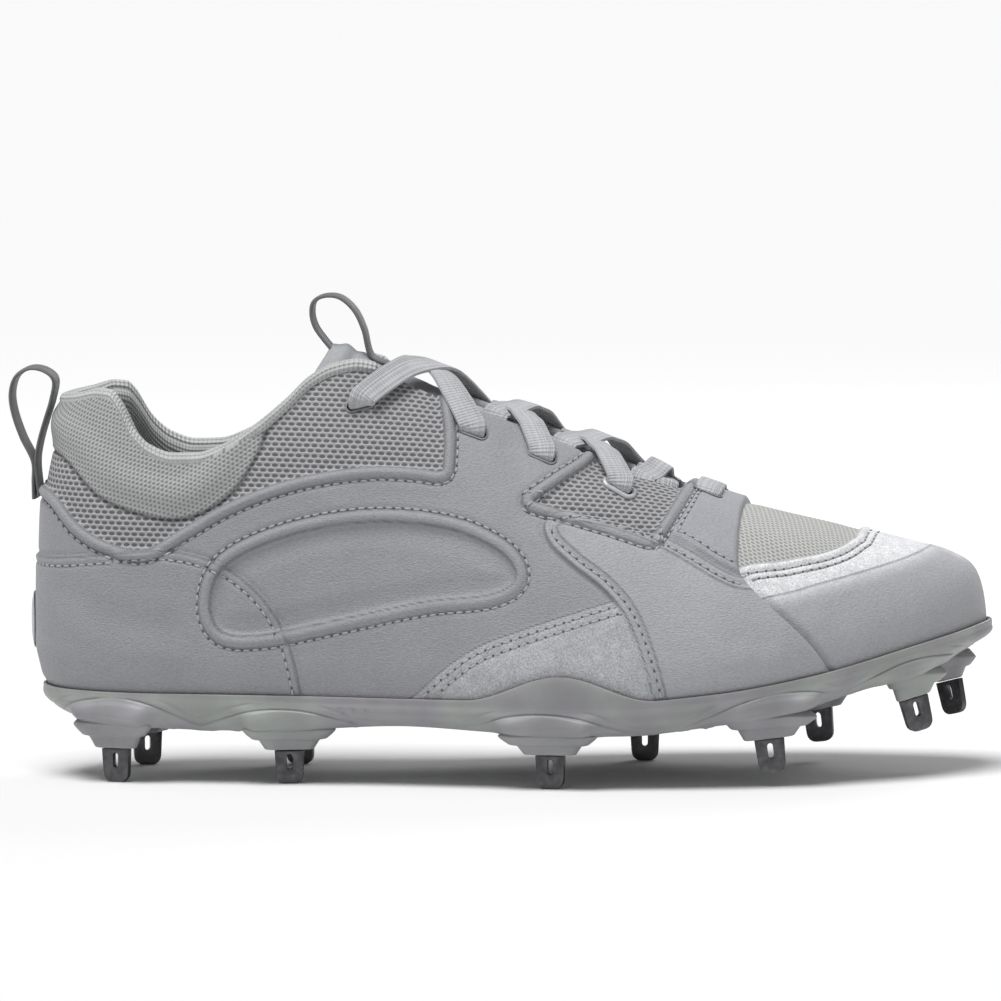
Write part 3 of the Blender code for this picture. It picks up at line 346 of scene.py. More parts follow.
def on_last(share, way, side, lift=0.0):
    """Points over the last, moved out by lift, and their outward directions."""
    share, way, side = np.broadcast_arrays(
        np.asarray(share, float), np.asarray(way, float), np.asarray(side)
    )
    normal = read_table(LAST_NORMALS, share, way, side)
    normal = normal / np.linalg.norm(normal, axis=-1, keepdims=True)
    lift = np.broadcast_to(np.asarray(lift, float), share.shape)
    return read_table(LAST_POINTS, share, way, side) + normal * lift[..., None], normal


def wall_run(share):
    """Length of the wall from the feather to the ridge."""
    return np.interp(end_angle(share), np.linspace(0, 1, TABLE_STATIONS), LAST_RUNS)


def way_at_height(share, height):
    """How far up the wall a height above the ground lies, as a share of the wall's run."""
    t = end_angle(share) * (TABLE_STATIONS - 1)
    k = np.clip(np.floor(t).astype(int), 0, TABLE_STATIONS - 2)
    a = t - k
    rows = np.linspace(0, 1, TABLE_ROWS)
    shares, heights = np.atleast_1d(share), np.atleast_1d(height)
    found = np.zeros(len(shares))
    for n in range(len(shares)):
        kk, aa = np.atleast_1d(k)[n], np.atleast_1d(a)[n]
        tall = LAST_POINTS[0, kk, :, 2] * (1 - aa) + LAST_POINTS[0, kk + 1, :, 2] * aa
        found[n] = np.interp(heights[n], tall, rows)
    return found


def spot(x, z):
    """Share and way of the last's point that shows at (x, z) in the side view, in metres."""
    x, z = np.asarray(x, float), np.asarray(z, float)
    share = np.clip(x / UPPER_LENGTH, 0, 1)
    for _ in range(4):
        up = np.clip(z - feather_height(share), 0, None)
        share = np.clip((x - heel_lean(share, up)) / UPPER_LENGTH, 0, 1)
    return share, way_at_height(share, z)


def way_across(share, across):
    """The way of a point at a distance over the last from the ridge."""
    return 1 - np.abs(across) / wall_run(share)


EDGE_WAYS = way_at_height(SHARES, edge_height(SHARES))


def edge_way(share):
    return np.interp(end_angle(share), np.linspace(0, 1, TABLE_STATIONS), EDGE_WAYS)


def edge_across(share):
    return (1 - edge_way(share)) * wall_run(share)


def smooth_line(points, step, cyclic=False):
    """A Catmull-Rom line through rows of coordinates, with points about step apart."""
    points = np.asarray(points, float)
    if cyclic:
        knots = np.vstack([points[-1], points, points[:2]])
    else:
        knots = np.vstack([2 * points[0] - points[1], points, 2 * points[-1] - points[-2]])
    line = []
    for k in range(1, len(knots) - 2):
        p0, p1, p2, p3 = knots[k - 1 : k + 3]
        if np.allclose(p1, p2):
            continue
        count = max(2, int(np.linalg.norm(p2 - p1) / step) + 1)
        t = np.linspace(0, 1, count, endpoint=False)[:, None]
        line.append(catmull_rom(p0, p1, p2, p3, t))
    return np.vstack(line + [knots[-2][None]])


def line_on_last(line, side):
    """Points of a side view line, in millimetres, on the last's surface."""
    share, way = spot(line[:, 0] / 1000, line[:, 1] / 1000)
    return on_last(share, way, side)[0]


def distance_to(points, line, reach=0.014):
    """Distance of each point to a line in space, no further than reach."""
    found = np.full(len(points), reach)
    low, high = line.min(axis=0) - reach, line.max(axis=0) + reach
    near = np.where(np.all((points > low) & (points < high), axis=1))[0]
    starts, ways = line[:-1], np.diff(line, axis=0)
    squares = np.maximum((ways**2).sum(axis=1), 1e-14)
    for chunk in np.array_split(near, max(1, len(near) // 8000)):
        place = points[chunk][:, None, :] - starts[None]
        t = np.clip((place * ways[None]).sum(axis=2) / squares[None], 0, 1)
        gap = place - t[..., None] * ways[None]
        found[chunk] = np.minimum(found[chunk], np.sqrt((gap**2).sum(axis=2).min(axis=1)))
    return found


def inside(x, z, ring):
    """Which points of the side view lie in a closed outline."""
    odd = np.zeros(len(x), bool)
    for (x1, z1), (x2, z2) in zip(ring, np.roll(ring, -1, axis=0)):
        if z1 == z2:
            continue
        crosses = (z1 > z) != (z2 > z)
        odd ^= crosses & (x < (x2 - x1) * (z - z1) / (z2 - z1) + x1)
    return odd


def panel_line(panel):
    border, closing = panel
    return smooth_line(border, 1.2, cyclic=closing is None)


def panel_distance(points, side, panel):
    """Signed distance, in metres, to a panel's sewn line: positive inside the panel."""
    line = panel_line(panel)
    ring = line if panel[1] is None else np.vstack([line, panel[1]])
    away = distance_to(points, line_on_last(line, side))
    held = inside(points[:, 0] * 1000, points[:, 2] * 1000, ring)
    return np.where(held, away, -away)


def ramp(value, start, end):
    t = np.clip((value - start) / (end - start), 0, 1)
    return t * t * (3 - 2 * t)


def bump_at(value, centre, half_width):
    """A smooth bump of height one round a value."""
    t = np.clip(np.abs(value - centre) / half_width, 0, 1)
    return (1 - t * t) ** 2


def ramp_mm(value, start, end):
    """A ramp for a value in metres between two distances in millimetres."""
    return ramp(value, start * MM, end * MM)


def bump_mm(value, centre, half_width):
    return bump_at(value, centre * MM, half_width * MM)


def quarter_layers(points, side):
    """Height over the last and the masks of every quarter panel at points of the last's surface."""
    panels = (COLLAR_MESH, COLLAR_PAD, THROAT_MESH, QUARTER_RECESS, FOREFOOT_BAND, THROAT_PATCH)
    panels += (RAND, HEEL_COUNTER)
    found = (panel_distance(points, side, panel) for panel in panels)
    mesh, pad, throat, recess, band, patch, rand, counter = found
    cloth = np.maximum(mesh, throat)
    shell = 1 - ramp_mm(cloth, -0.7, 0.9)
    height = (GAP + OVERLAY) * shell
    for away in (mesh, throat):
        height += 1.0 * MM * bump_mm(away, -1.9, 2.0) * shell
        height -= 0.45 * MM * bump_mm(away, -4.3, 1.0) * shell
        height += 0.25 * MM * ramp_mm(away, 2, 9)
    height -= 1.15 * MM * ramp_mm(recess, -0.4, 1.6)
    height += 0.75 * MM * bump_mm(recess, -1.7, 2.0)
    height -= 0.40 * MM * bump_mm(recess, -4.3, 1.0)
    height += 0.60 * MM * ramp_mm(recess, 3.0, 9)
    outside_band = 1 - ramp_mm(band, -0.3, 0.5)
    height += 0.60 * MM * ramp_mm(rand, -0.4, 0.4) * outside_band
    sewn_rows = bump_mm(rand, 1.8, 0.9) + bump_mm(rand, 4.3, 0.9)
    height -= 0.35 * MM * sewn_rows * outside_band
    height += 0.90 * MM * ramp_mm(band, -0.5, 0.5)
    height -= 0.40 * MM * (bump_mm(band, 2.2, 1.0) + bump_mm(band, -1.0, 0.9))
    over = (1 - ramp_mm(band, -0.5, 0.5)) * shell
    height += 0.60 * MM * ramp_mm(patch, -0.4, 0.4) * over
    height -= 0.35 * MM * bump_mm(patch, 1.9, 0.9) * over
    height += 0.75 * MM * ramp_mm(counter, -0.4, 0.5) * shell
    height -= 0.40 * MM * bump_mm(counter, 2.4, 1.0) * shell
    height -= 0.30 * MM * bump_mm(counter, -1.0, 0.9) * shell
    inner = ramp_mm(pad, -0.8, 0.8)
    puff = ramp_mm(pad, 0, 8) * (1 - 0.55 * ramp_mm(pad, 9, 14))
    height += inner * (0.5 * MM + 2.0 * MM * puff)
    height -= 0.5 * MM * bump_mm(pad, -0.6, 1.1)
    rims = (mesh + RIM_FOOT, throat + RIM_FOOT, recess + RIM_FOOT)
    lines = (band, np.where(band > 0, 1.0, rand), np.where(cloth > 0, 1.0, counter), mesh, throat, recess)
    lines += rims + (band - RIM_FOOT,)
    # Nearest sewn line or rim foot: the material paints shade along it and also grooves it
    seams = np.minimum.reduce([np.abs(line) for line in lines])
    masks = {
        "cloth": cloth,
        "pad": pad,
        "seam": seams,
        "band": band,
        "rand": np.where(band > 0, -np.abs(band) - 1e-4, rand),
        "patch": np.where(band > 0, -1e-3, patch),
    }
    return height, masks


def vamp_layers(points, side):
    """The same for the toe box."""
    mesh, cap = (panel_distance(points, side, panel) for panel in (VAMP_MESH, TOE_CAP))
    shell = 1 - ramp_mm(mesh, -0.7, 0.9)
    height = 0.9 * MM * shell
    height += 0.5 * MM * bump_mm(mesh, -1.4, 1.6) * shell
    height -= 0.35 * MM * (bump_mm(mesh, -3.0, 0.9) + bump_mm(mesh, -5.4, 0.9)) * shell
    height += 0.25 * MM * ramp_mm(mesh, 2, 9)
    height += 0.25 * MM * ramp_mm(cap, -2.0, 2.0)
    # Nearest sewn line: the material paints shade along it and also grooves it
    seams = np.minimum(np.abs(mesh), np.abs(cap))
    return height, {"cloth": mesh, "cap": cap, "seam": seams}


def creased(points, side):
    """Soft troughs and ridges across the flex and the quarter, at the places listed."""
    height = np.zeros(len(points))
    for route, half_width, depth in CREASES:
        line = line_on_last(smooth_line(route, 2.0), side)
        away = distance_to(points, line, 2.2 * half_width * MM)
        height -= depth * MM * bump_at(away, 0, half_width * MM)
        height += 0.4 * depth * MM * bump_at(away, 1.4 * half_width * MM, 0.7 * half_width * MM)
    return height


def over_last(base, side, layers):
    """Height and masks of the layers at points of both sides, creases included."""
    lift, masks = np.zeros(len(base)), {}
    for s in BOTH_SIDES:
        mine = side == s
        rise, found = layers(base[mine], s)
        lift[mine] = rise + creased(base[mine], s)
        for name, values in found.items():
            masks.setdefault(name, np.zeros(len(base)))[mine] = values
    return lift, masks


def clear_selection():
    if bpy.context.object and bpy.context.object.mode != "OBJECT":
        bpy.ops.object.mode_set(mode="OBJECT")
    bpy.ops.object.select_all(action="DESELECT")


def select_only(piece):
    clear_selection()
    piece.select_set(True)
    bpy.context.view_layer.objects.active = piece


def applied(piece, name, kind, **settings):
    """Adds a modifier to a piece and applies it."""
    modifier = piece.modifiers.new(name, kind)
    for key, value in settings.items():
        setattr(modifier, key, value)
    select_only(piece)
    bpy.ops.object.modifier_apply(modifier=name)


def coordinates(mesh):
    co = np.zeros(3 * len(mesh.vertices))
    mesh.vertices.foreach_get("co", co)
    return co.reshape(-1, 3)


def grid_piece(name, columns, rows):
    """A primitive grid of columns by rows, and the place of each of its vertices in it."""
    clear_selection()
    bpy.ops.mesh.primitive_grid_add(x_subdivisions=columns, y_subdivisions=rows, size=1)
    piece = bpy.context.object
    piece.name = piece.data.name = name
    co = coordinates(piece.data)
    u = np.unique(np.round(co[:, 0], 6), return_inverse=True)
    v = np.unique(np.round(co[:, 1], 6), return_inverse=True)
    return piece, u[1].ravel(), v[1].ravel(), len(u[0]) - 1, len(v[0]) - 1


def put_vertices(piece, points):
    piece.data.vertices.foreach_set("co", np.ascontiguousarray(points, dtype=np.float32).ravel())
    piece.data.update()


def set_uv(piece, u, v):
    """UV in millimetres from two values a vertex."""
    corners = np.zeros(len(piece.data.loops), dtype=np.int32)
    piece.data.loops.foreach_get("vertex_index", corners)
    uv = np.stack([u[corners], v[corners]], axis=1).astype(np.float32)
    piece.data.uv_layers[0].data.foreach_set("uv", uv.ravel())


def set_value(piece, name, values):
    layer = piece.data.attributes.new(name, "FLOAT", "POINT")
    layer.data.foreach_set("value", np.ascontiguousarray(values, dtype=np.float32))


def merged(piece, distance=1e-5):
    """Closes the doubles of a piece and makes its faces point outwards."""
    select_only(piece)
    bpy.ops.object.mode_set(mode="EDIT")
    bpy.ops.mesh.select_all(action="SELECT")
    bpy.ops.mesh.remove_doubles(threshold=distance)
    bpy.ops.mesh.normals_make_consistent(inside=False)
    bpy.ops.object.mode_set(mode="OBJECT")
    return piece


def smooth_shaded(piece, angle=50):
    select_only(piece)
    bpy.ops.object.shade_smooth_by_angle(angle=math.radians(angle))
    return piece


def joined(pieces, name):
    clear_selection()
    for piece in pieces:
        piece.select_set(True)
    bpy.context.view_layer.objects.active = pieces[0]
    if len(pieces) > 1:
        bpy.ops.object.join()
    pieces[0].name = pieces[0].data.name = name
    return pieces[0]


def tube_piece(name, rings, closed_ends=True):
    """A skin round rows of rings of equal length, with both ends closed."""
    rings = np.asarray(rings, float)
    if closed_ends:
        first = np.repeat(rings[:1].mean(axis=1, keepdims=True), rings.shape[1], axis=1)
        last = np.repeat(rings[-1:].mean(axis=1, keepdims=True), rings.shape[1], axis=1)
        rings = np.concatenate([first, rings, last])
    count, around = rings.shape[:2]
    piece, i, j, _, _ = grid_piece(name, count - 1, around)
    put_vertices(piece, rings[i, j % around] + CARRIER)
    run = lengths(rings.mean(axis=1))
    side = np.linalg.norm(rings - np.roll(rings, 1, axis=1), axis=2).mean(axis=0)
    turn = np.concatenate([[0], np.cumsum(side)])
    set_uv(piece, run[i] * 1000, turn[j] * 1000)
    return smooth_shaded(merged(piece), 60)


def dressed(piece, material, slot, *nodes):
    """Gives a finished piece its material and hides the CAD nodes that it stands for; the slot argument is
    not used.
    """
    piece.data.materials.clear()
    piece.data.materials.append(material)
    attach(piece, "root")
    if nodes:
        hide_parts(*nodes)
    return piece


# Materials


def add(tree, kind, settings=None, links=None):
    """A node with its settings; links fills inputs by name or number, from sockets or plain values."""
    node = tree.nodes.new(kind)
    for key, value in (settings or {}).items():
        setattr(node, key, value)
    for key, value in (links or {}).items():
        socket = node.inputs[key]
        if isinstance(value, bpy.types.NodeSocket):
            tree.links.new(value, socket)
        else:
            socket.default_value = value
    return node


def calc(tree, operation, *values):
    return add(tree, "ShaderNodeMath", {"operation": operation}, dict(enumerate(values))).outputs[0]


def times(tree, *values):
    return calc(tree, "MULTIPLY", *values)


def plus(tree, *values):
    return calc(tree, "ADD", *values)


def stepped(tree, value, start, end, low=0.0, high=1.0):
    """A smooth step between two values."""
    links = {"Value": value, "From Min": start, "From Max": end, "To Min": low, "To Max": high}
    return add(tree, "ShaderNodeMapRange", {"interpolation_type": "SMOOTHSTEP"}, links).outputs[0]


def mixed(tree, factor, first, second):
    """A plain value between two others."""
    return add(tree, "ShaderNodeMix", {}, {0: factor, 2: first, 3: second}).outputs[0]


def blended(tree, factor, first, second):
    """A colour between two others, each a socket or three values."""
    first, second = (v if isinstance(v, bpy.types.NodeSocket) else (*v, 1) for v in (first, second))
    links = {0: factor, 6: first, 7: second}
    return add(tree, "ShaderNodeMix", {"data_type": "RGBA"}, links).outputs[2]


def shaded(tree, colour, factor):
    """A colour made lighter or darker by a factor."""
    return add(tree, "ShaderNodeVectorMath", {"operation": "SCALE"}, {0: colour, 3: factor}).outputs[0]


def effect(name, inputs, outputs, build):
    """A node group with named inputs and outputs: build makes its nodes and returns its results."""
    tree = bpy.data.node_groups.new(name, "ShaderNodeTree")
    for label, kind, value in inputs:
        socket = tree.interface.new_socket(label, in_out="INPUT", socket_type=kind)
        if value is not None:
            socket.default_value = value
    for label in outputs:
        tree.interface.new_socket(label, in_out="OUTPUT", socket_type="NodeSocketFloat")
    entry = tree.nodes.new("NodeGroupInput")
    results = build(tree, {label: entry.outputs[label] for label, _, _ in inputs})
    way_out = tree.nodes.new("NodeGroupOutput")
    for label, result in zip(outputs, results):
        tree.links.new(result, way_out.inputs[label])
    return tree


def spaced(names):
    """Keyword arguments as socket names."""
    return {key.replace("_", " "): value for key, value in names.items()}


def use(tree, group, **links):
    return add(tree, "ShaderNodeGroup", {"node_tree": group}, spaced(links)).outputs


def feed(tree, shader, **links):
    for key, value in spaced(links).items():
        tree.links.new(value, shader.inputs[key])


def noise(tree, vector, scale, detail=2.0, roughness=0.5):
    links = {"Vector": vector, "Scale": scale, "Detail": detail, "Roughness": roughness}
    return add(tree, "ShaderNodeTexNoise", {}, links).outputs[0]


def build_grain(tree, given):
    """Moulded leather grain: small cells with soft edges over a slow unevenness."""
    stretch = {0: given["Vector"], 1: (0.75, 1, 1.6)}
    drawn = add(tree, "ShaderNodeVectorMath", {"operation": "MULTIPLY"}, stretch).outputs[0]
    links = {"Vector": drawn, "Scale": given["Scale"]}
    cells = add(tree, "ShaderNodeTexVoronoi", {"feature": "SMOOTH_F1"}, links).outputs["Distance"]
    fine = noise(tree, drawn, given["Scale"], 3.0, 0.6)
    slow = noise(tree, given["Vector"], 55.0, 3.0)
    height = plus(tree, times(tree, cells, 0.55), times(tree, fine, 0.8))
    tones = stepped(tree, slow, 0.3, 0.7, 0.97, 1.02), stepped(tree, fine, 0.3, 0.7, 0.89, 1.09)
    return height, times(tree, *tones)


def build_knit(tree, given):
    """Oval openings of a knitted mesh in staggered rows, from UV in millimetres."""
    parts = add(tree, "ShaderNodeSeparateXYZ", {}, {0: given["Vector"]})
    tall = calc(tree, "DIVIDE", parts.outputs[1], given["Row"])
    shift = times(tree, calc(tree, "MODULO", calc(tree, "FLOOR", tall), 2.0), 0.5)
    wide = plus(tree, calc(tree, "DIVIDE", parts.outputs[0], given["Pitch"]), shift)
    squares = []
    for place, spacing, size in ((wide, "Pitch", "Length"), (tall, "Row", "Width")):
        away = times(tree, calc(tree, "SUBTRACT", calc(tree, "FRACT", place), 0.5), given[spacing])
        away = calc(tree, "DIVIDE", away, given[size])
        squares.append(times(tree, away, away))
    away = calc(tree, "SQRT", plus(tree, *squares))
    hole = stepped(tree, away, 0.42, 0.62, 1.0, 0.0)
    bands = {"wave_type": "BANDS", "bands_direction": "DIAGONAL"}
    links = {"Vector": given["Vector"], "Scale": 1.5, "Distortion": 1.2}
    yarn = add(tree, "ShaderNodeTexWave", bands, links).outputs["Fac"]
    return hole, plus(tree, stepped(tree, away, 0.3, 1.15, 0.0, 1.0), times(tree, yarn, 0.18))


def build_weave(tree, given):
    """Flat woven yarns: small checks that rise and fall, from UV in millimetres; their tone darkens where
    they dip, as painted shade.
    """
    parts = add(tree, "ShaderNodeSeparateXYZ", {}, {0: given["Vector"]})
    slants = []
    for operation in ("ADD", "SUBTRACT"):
        slant = calc(tree, operation, parts.outputs[0], parts.outputs[1])
        slants.append(calc(tree, "SINE", times(tree, slant, given["Turns"])))
    height = calc(tree, "MULTIPLY_ADD", times(tree, *slants), 0.5, 0.5)
    # Painted shade: the tone falls to 0.86 in the weave's hollows
    return height, stepped(tree, height, 0.0, 0.5, 0.86, 1.0)


VECTOR = ("Vector", "NodeSocketVector", None)


def number(label, value):
    return label, "NodeSocketFloat", value


GRAIN = effect("leather_grain", [VECTOR, number("Scale", 1500.0)], ["Height", "Tone"], build_grain)
KNIT_SIZES = [number("Pitch", 2.5), number("Row", 1.6), number("Length", 1.7), number("Width", 1.0)]
KNIT = effect("knit_openings", [VECTOR] + KNIT_SIZES, ["Hole", "Height"], build_knit)
WEAVE = effect("yarn_weave", [VECTOR, number("Turns", 4.0)], ["Height", "Tone"], build_weave)


def new_material(name, roughness, **uniform):
    material = bpy.data.materials.new(name)
    material.use_nodes = True
    tree = material.node_tree
    shader = tree.nodes["Principled BSDF"]
    shader.inputs["Roughness"].default_value = roughness
    for key, value in spaced(uniform).items():
        shader.inputs[key].default_value = value
    return material, tree, shader


def bumped(tree, shader, height, distance):
    node = add(tree, "ShaderNodeBump", {}, {"Height": height, "Distance": distance, "Strength": 1.0})
    feed(tree, shader, Normal=node.outputs[0])


def object_place(tree):
    return add(tree, "ShaderNodeTexCoord").outputs["Object"]


def uv_place(tree):
    return add(tree, "ShaderNodeTexCoord").outputs["UV"]


def read(tree, name):
    return add(tree, "ShaderNodeAttribute", {"attribute_name": name}).outputs["Fac"]


SYNTHETIC = (0.277, 0.280, 0.299)
BAND_GREY = (0.345, 0.348, 0.369)
SUEDE = (0.415, 0.420, 0.440)
PATCH_GREY = (0.305, 0.312, 0.338)
MESH_GREY = (0.405, 0.405, 0.418)
# Painted shade in the quarter knit's openings, not a backing's colour
MESH_OPENING_SHADE = (0.110, 0.110, 0.116)
PAD_GREY = (0.445, 0.458, 0.452)
LACE_GREY = (0.470, 0.476, 0.494)
TONGUE_GREY = (0.340, 0.345, 0.362)
TPU_GREY = (0.300, 0.317, 0.304)
TPU_COOL = (0.272, 0.272, 0.287)
STEEL_GREY = (0.100, 0.100, 0.106)
STEEL_WORN = (0.155, 0.155, 0.161)
TOE_SUEDE = (0.705, 0.709, 0.731)
VAMP_YARN = (0.548, 0.552, 0.539)
# Painted shade in the openings of the vamp's knit and the collar pad's knit
VAMP_OPENING_SHADE = (0.270, 0.272, 0.262)
PAD_OPENING_SHADE = (0.215, 0.222, 0.220)


def scaled(tree, vector, x, y, turn=0.0):
    node = add(tree, "ShaderNodeMapping", {}, {0: vector})
    node.inputs["Scale"].default_value = (x, y, 1)
    node.inputs["Rotation"].default_value = (0, 0, turn)
    return node.outputs[0]


def suede_parts(tree, place):
    """Napped surface: speckles and a fine uneven height."""
    speck = noise(tree, place, 1900.0, 3.0, 0.7)
    cloud = noise(tree, place, 260.0, 2.0)
    tones = stepped(tree, speck, 0.3, 0.7, 0.70, 1.28), stepped(tree, cloud, 0.3, 0.7, 0.92, 1.07)
    return speck, times(tree, *tones)


def upper_material(name, cloth_sizes, cloth_turn, quarter):
    """One sewn upper: leather-like panels, mesh windows, suede, each where its own line says."""
    material, tree, shader = new_material(name, 0.62, Sheen_Weight=0.12, Sheen_Roughness=0.5)
    place, uv = object_place(tree), uv_place(tree)
    cloth = stepped(tree, read(tree, "cloth"), -0.00015, 0.00035)
    grain = use(tree, GRAIN, Vector=place, Scale=1500.0)
    turned = scaled(tree, uv, 1, 1, cloth_turn)
    knit = use(tree, KNIT, Vector=turned, **dict(zip(("Pitch", "Row", "Length", "Width"), cloth_sizes)))
    knit_height = knit["Height"]
    speck, suede_tone = suede_parts(tree, place)
    nap = times(tree, speck, 0.9)
    panel = shaded(tree, SYNTHETIC, grain["Tone"])
    height = times(tree, grain["Height"], 0.85)
    seam = read(tree, "seam")
    # Painted shade: the panels' colour darkens to 0.62 within 0.8 mm of each sewn line and rim foot, as the
    # shadow in their grooves
    seam_shade = stepped(tree, seam, 0.0, 0.0008, 0.62, 1.0)
    if quarter:
        for mask, grey in (("band", BAND_GREY), ("patch", PATCH_GREY)):
            within = stepped(tree, read(tree, mask), -0.0001, 0.0002)
            panel = blended(tree, within, panel, shaded(tree, grey, grain["Tone"]))
        rand = stepped(tree, read(tree, "rand"), -0.0001, 0.0002)
        panel = blended(tree, rand, panel, shaded(tree, SUEDE, suede_tone))
        height = mixed(tree, rand, height, nap)
        pad = stepped(tree, read(tree, "pad"), -0.0003, 0.0003)
        slanted = scaled(tree, uv, 1, 1, 0.7)
        fine = use(tree, KNIT, Vector=slanted, Pitch=1.7, Row=1.1, Length=0.9, Width=0.65)
        # The knits' openings are not cut through: they take painted shade
        cloth_colour = blended(tree, knit["Hole"], MESH_GREY, MESH_OPENING_SHADE)
        cloth_colour = blended(tree, pad, cloth_colour, blended(tree, fine["Hole"], PAD_GREY, PAD_OPENING_SHADE))
        # Painted shade: the cloth darkens to 0.55 along the pad's sewn edge, over the groove there
        rim = calc(tree, "ABSOLUTE", plus(tree, read(tree, "pad"), 0.0005))
        cloth_colour = shaded(tree, cloth_colour, stepped(tree, rim, 0.0, 0.0014, 0.55, 1.0))
        knit_height = mixed(tree, pad, knit_height, fine["Height"])
    else:
        cap = stepped(tree, read(tree, "cap"), -0.004, 0.006)
        toe_suede = shaded(tree, TOE_SUEDE, suede_tone)
        panel = blended(tree, cap, toe_suede, shaded(tree, BAND_GREY, grain["Tone"]))
        height = mixed(tree, cap, nap, height)
        # The vamp knit's openings take painted shade
        cloth_colour = blended(tree, knit["Hole"], VAMP_YARN, VAMP_OPENING_SHADE)
    colour = blended(tree, cloth, shaded(tree, panel, seam_shade), cloth_colour)
    feed(tree, shader, Base_Color=colour, Roughness=calc(tree, "MULTIPLY_ADD", cloth, 0.2, 0.60))
    total = mixed(tree, cloth, height, knit_height)
    bumped(tree, shader, plus(tree, total, stepped(tree, seam, 0.0, 0.0006, -0.7, 0.0)), 0.00035)
    return material


def plain_grain(name, colour, roughness=0.6, scale=1500.0, distance=0.00008, **uniform):
    material, tree, shader = new_material(name, roughness, **uniform)
    grain = use(tree, GRAIN, Vector=object_place(tree), Scale=scale)
    feed(tree, shader, Base_Color=shaded(tree, colour, grain["Tone"]))
    bumped(tree, shader, grain["Height"], distance)
    return material


def woven(name, colour, turns, distance, roughness=0.8):
    material, tree, shader = new_material(name, roughness, Sheen_Weight=0.15, Sheen_Roughness=0.4)
    weave = use(tree, WEAVE, Vector=uv_place(tree), Turns=turns)
    cloud = stepped(tree, noise(tree, object_place(tree), 240.0), 0.3, 0.7, 0.95, 1.04)
    feed(tree, shader, Base_Color=shaded(tree, shaded(tree, colour, weave["Tone"]), cloud))
    bumped(tree, shader, weave["Height"], distance)
    return material


def moulded(name, colour, roughness, **uniform):
    """Clear-tinted moulded plate: a slow cloudiness under a smooth skin."""
    material, tree, shader = new_material(name, roughness, **uniform)
    place = object_place(tree)
    cloud = stepped(tree, noise(tree, place, 60.0, 3.0), 0.3, 0.7, 0.88, 1.10)
    tint = blended(tree, stepped(tree, noise(tree, place, 34.0, 1.0), 0.42, 0.58), colour, TPU_COOL)
    scuff = noise(tree, place, 900.0, 4.0, 0.7)
    rough = stepped(tree, scuff, 0.3, 0.7, roughness - 0.06, roughness + 0.1)
    feed(tree, shader, Base_Color=shaded(tree, tint, cloud), Roughness=rough)
    bumped(tree, shader, scuff, 0.00004)
    return material


def steel(name):
    material, tree, shader = new_material(name, 0.34, Metallic=1.0)
    place = object_place(tree)
    lines = noise(tree, scaled(tree, place, 300.0, 300.0), 6.0, 3.0)
    wear = stepped(tree, noise(tree, place, 500.0, 3.0), 0.35, 0.85)
    feed(
        tree, shader, Base_Color=blended(tree, wear, STEEL_GREY, STEEL_WORN),
        Roughness=stepped(tree, lines, 0.3, 0.7, 0.34, 0.46),
    )
    bumped(tree, shader, lines, 0.00003)
    return material


QUARTER_CLOTH = upper_material("sewn_quarter", (2.5, 1.65, 1.9, 1.05), 0.0, True)
VAMP_CLOTH = upper_material("sewn_vamp", (1.9, 1.25, 1.35, 0.62), 0.45, False)
LINING_CLOTH = woven("lining_textile", (0.42, 0.43, 0.43), 3.2, 0.00015)
BINDING_CLOTH = woven("binding_knit", (0.520, 0.530, 0.530), 2.2, 0.00060)
PADDING_CLOTH = woven("padding_textile", (0.380, 0.388, 0.386), 3.0, 0.00035)
TONGUE_CLOTH = plain_grain("tongue_synthetic", TONGUE_GREY, 0.66)
LACE_KNIT = woven("flat_lace_knit", LACE_GREY, 3.0, 0.00040)
RIBBON = woven("loop_ribbon", (0.150, 0.153, 0.158), 7.0, 0.00012, 0.55)
THREAD = woven("sewing_thread", (0.47, 0.475, 0.49), 12.0, 0.00005, 0.7)
# A real punched edge, darker than the panels as painted shade round the slots
PUNCHED_EDGE_AND_SHADE = plain_grain("punched_edge_and_shade", (0.23, 0.232, 0.245), 0.75)
# Painted shade: near-black specks where the thread dives into its needle holes
NEEDLE_HOLE_SHADE = plain_grain("needle_hole_shade", (0.10, 0.10, 0.105), 0.9)
BADGE = plain_grain("badge_plastic", (0.38, 0.39, 0.41), 0.35, 900.0, 0.00003, Coat_Weight=0.3)
INSOLE_FOAM = woven("insole_textile", (0.33, 0.335, 0.34), 2.6, 0.0002)
TPU = moulded(
    "clear_tinted_tpu", TPU_GREY, 0.48, Coat_Weight=0.10, Coat_Roughness=0.35, Subsurface_Weight=0.15,
    Subsurface_Scale=0.005,
)
BLADE_STEEL = steel("stamped_steel")
RING_PLASTIC = plain_grain("eyelet_plastic", (0.44, 0.45, 0.47), 0.25, 900.0, 0.00002, Coat_Weight=0.5)


# Camera, floor and light


CAMERA_AZIMUTH = 7.0
CAMERA_ELEVATION = 5.5
CAMERA_ROLL = 0.8
PIXELS_PER_MM = 3.194
IMAGE_SIZE = 1001
ANCHOR_PIXEL = (117, 782)
ANCHOR = Vector((0.026, -0.024, 0))
CAMERA_DISTANCE = 4.0
WORLD_LIGHT = 0.29
SUN_LIGHT = 3.15
SUN_SPREAD = 32
SUN_FROM = (-0.15, -0.28, 1.0)
# Place, target, size and power of the light behind the shoe
RIM_LIGHT = ((0.45, 0.9, 0.7), (0, 0, 0.06), 0.6, 3.0)
FLOOR_SIZE = 40
FLOOR_TONE = 0.79
SENSOR = 36.0


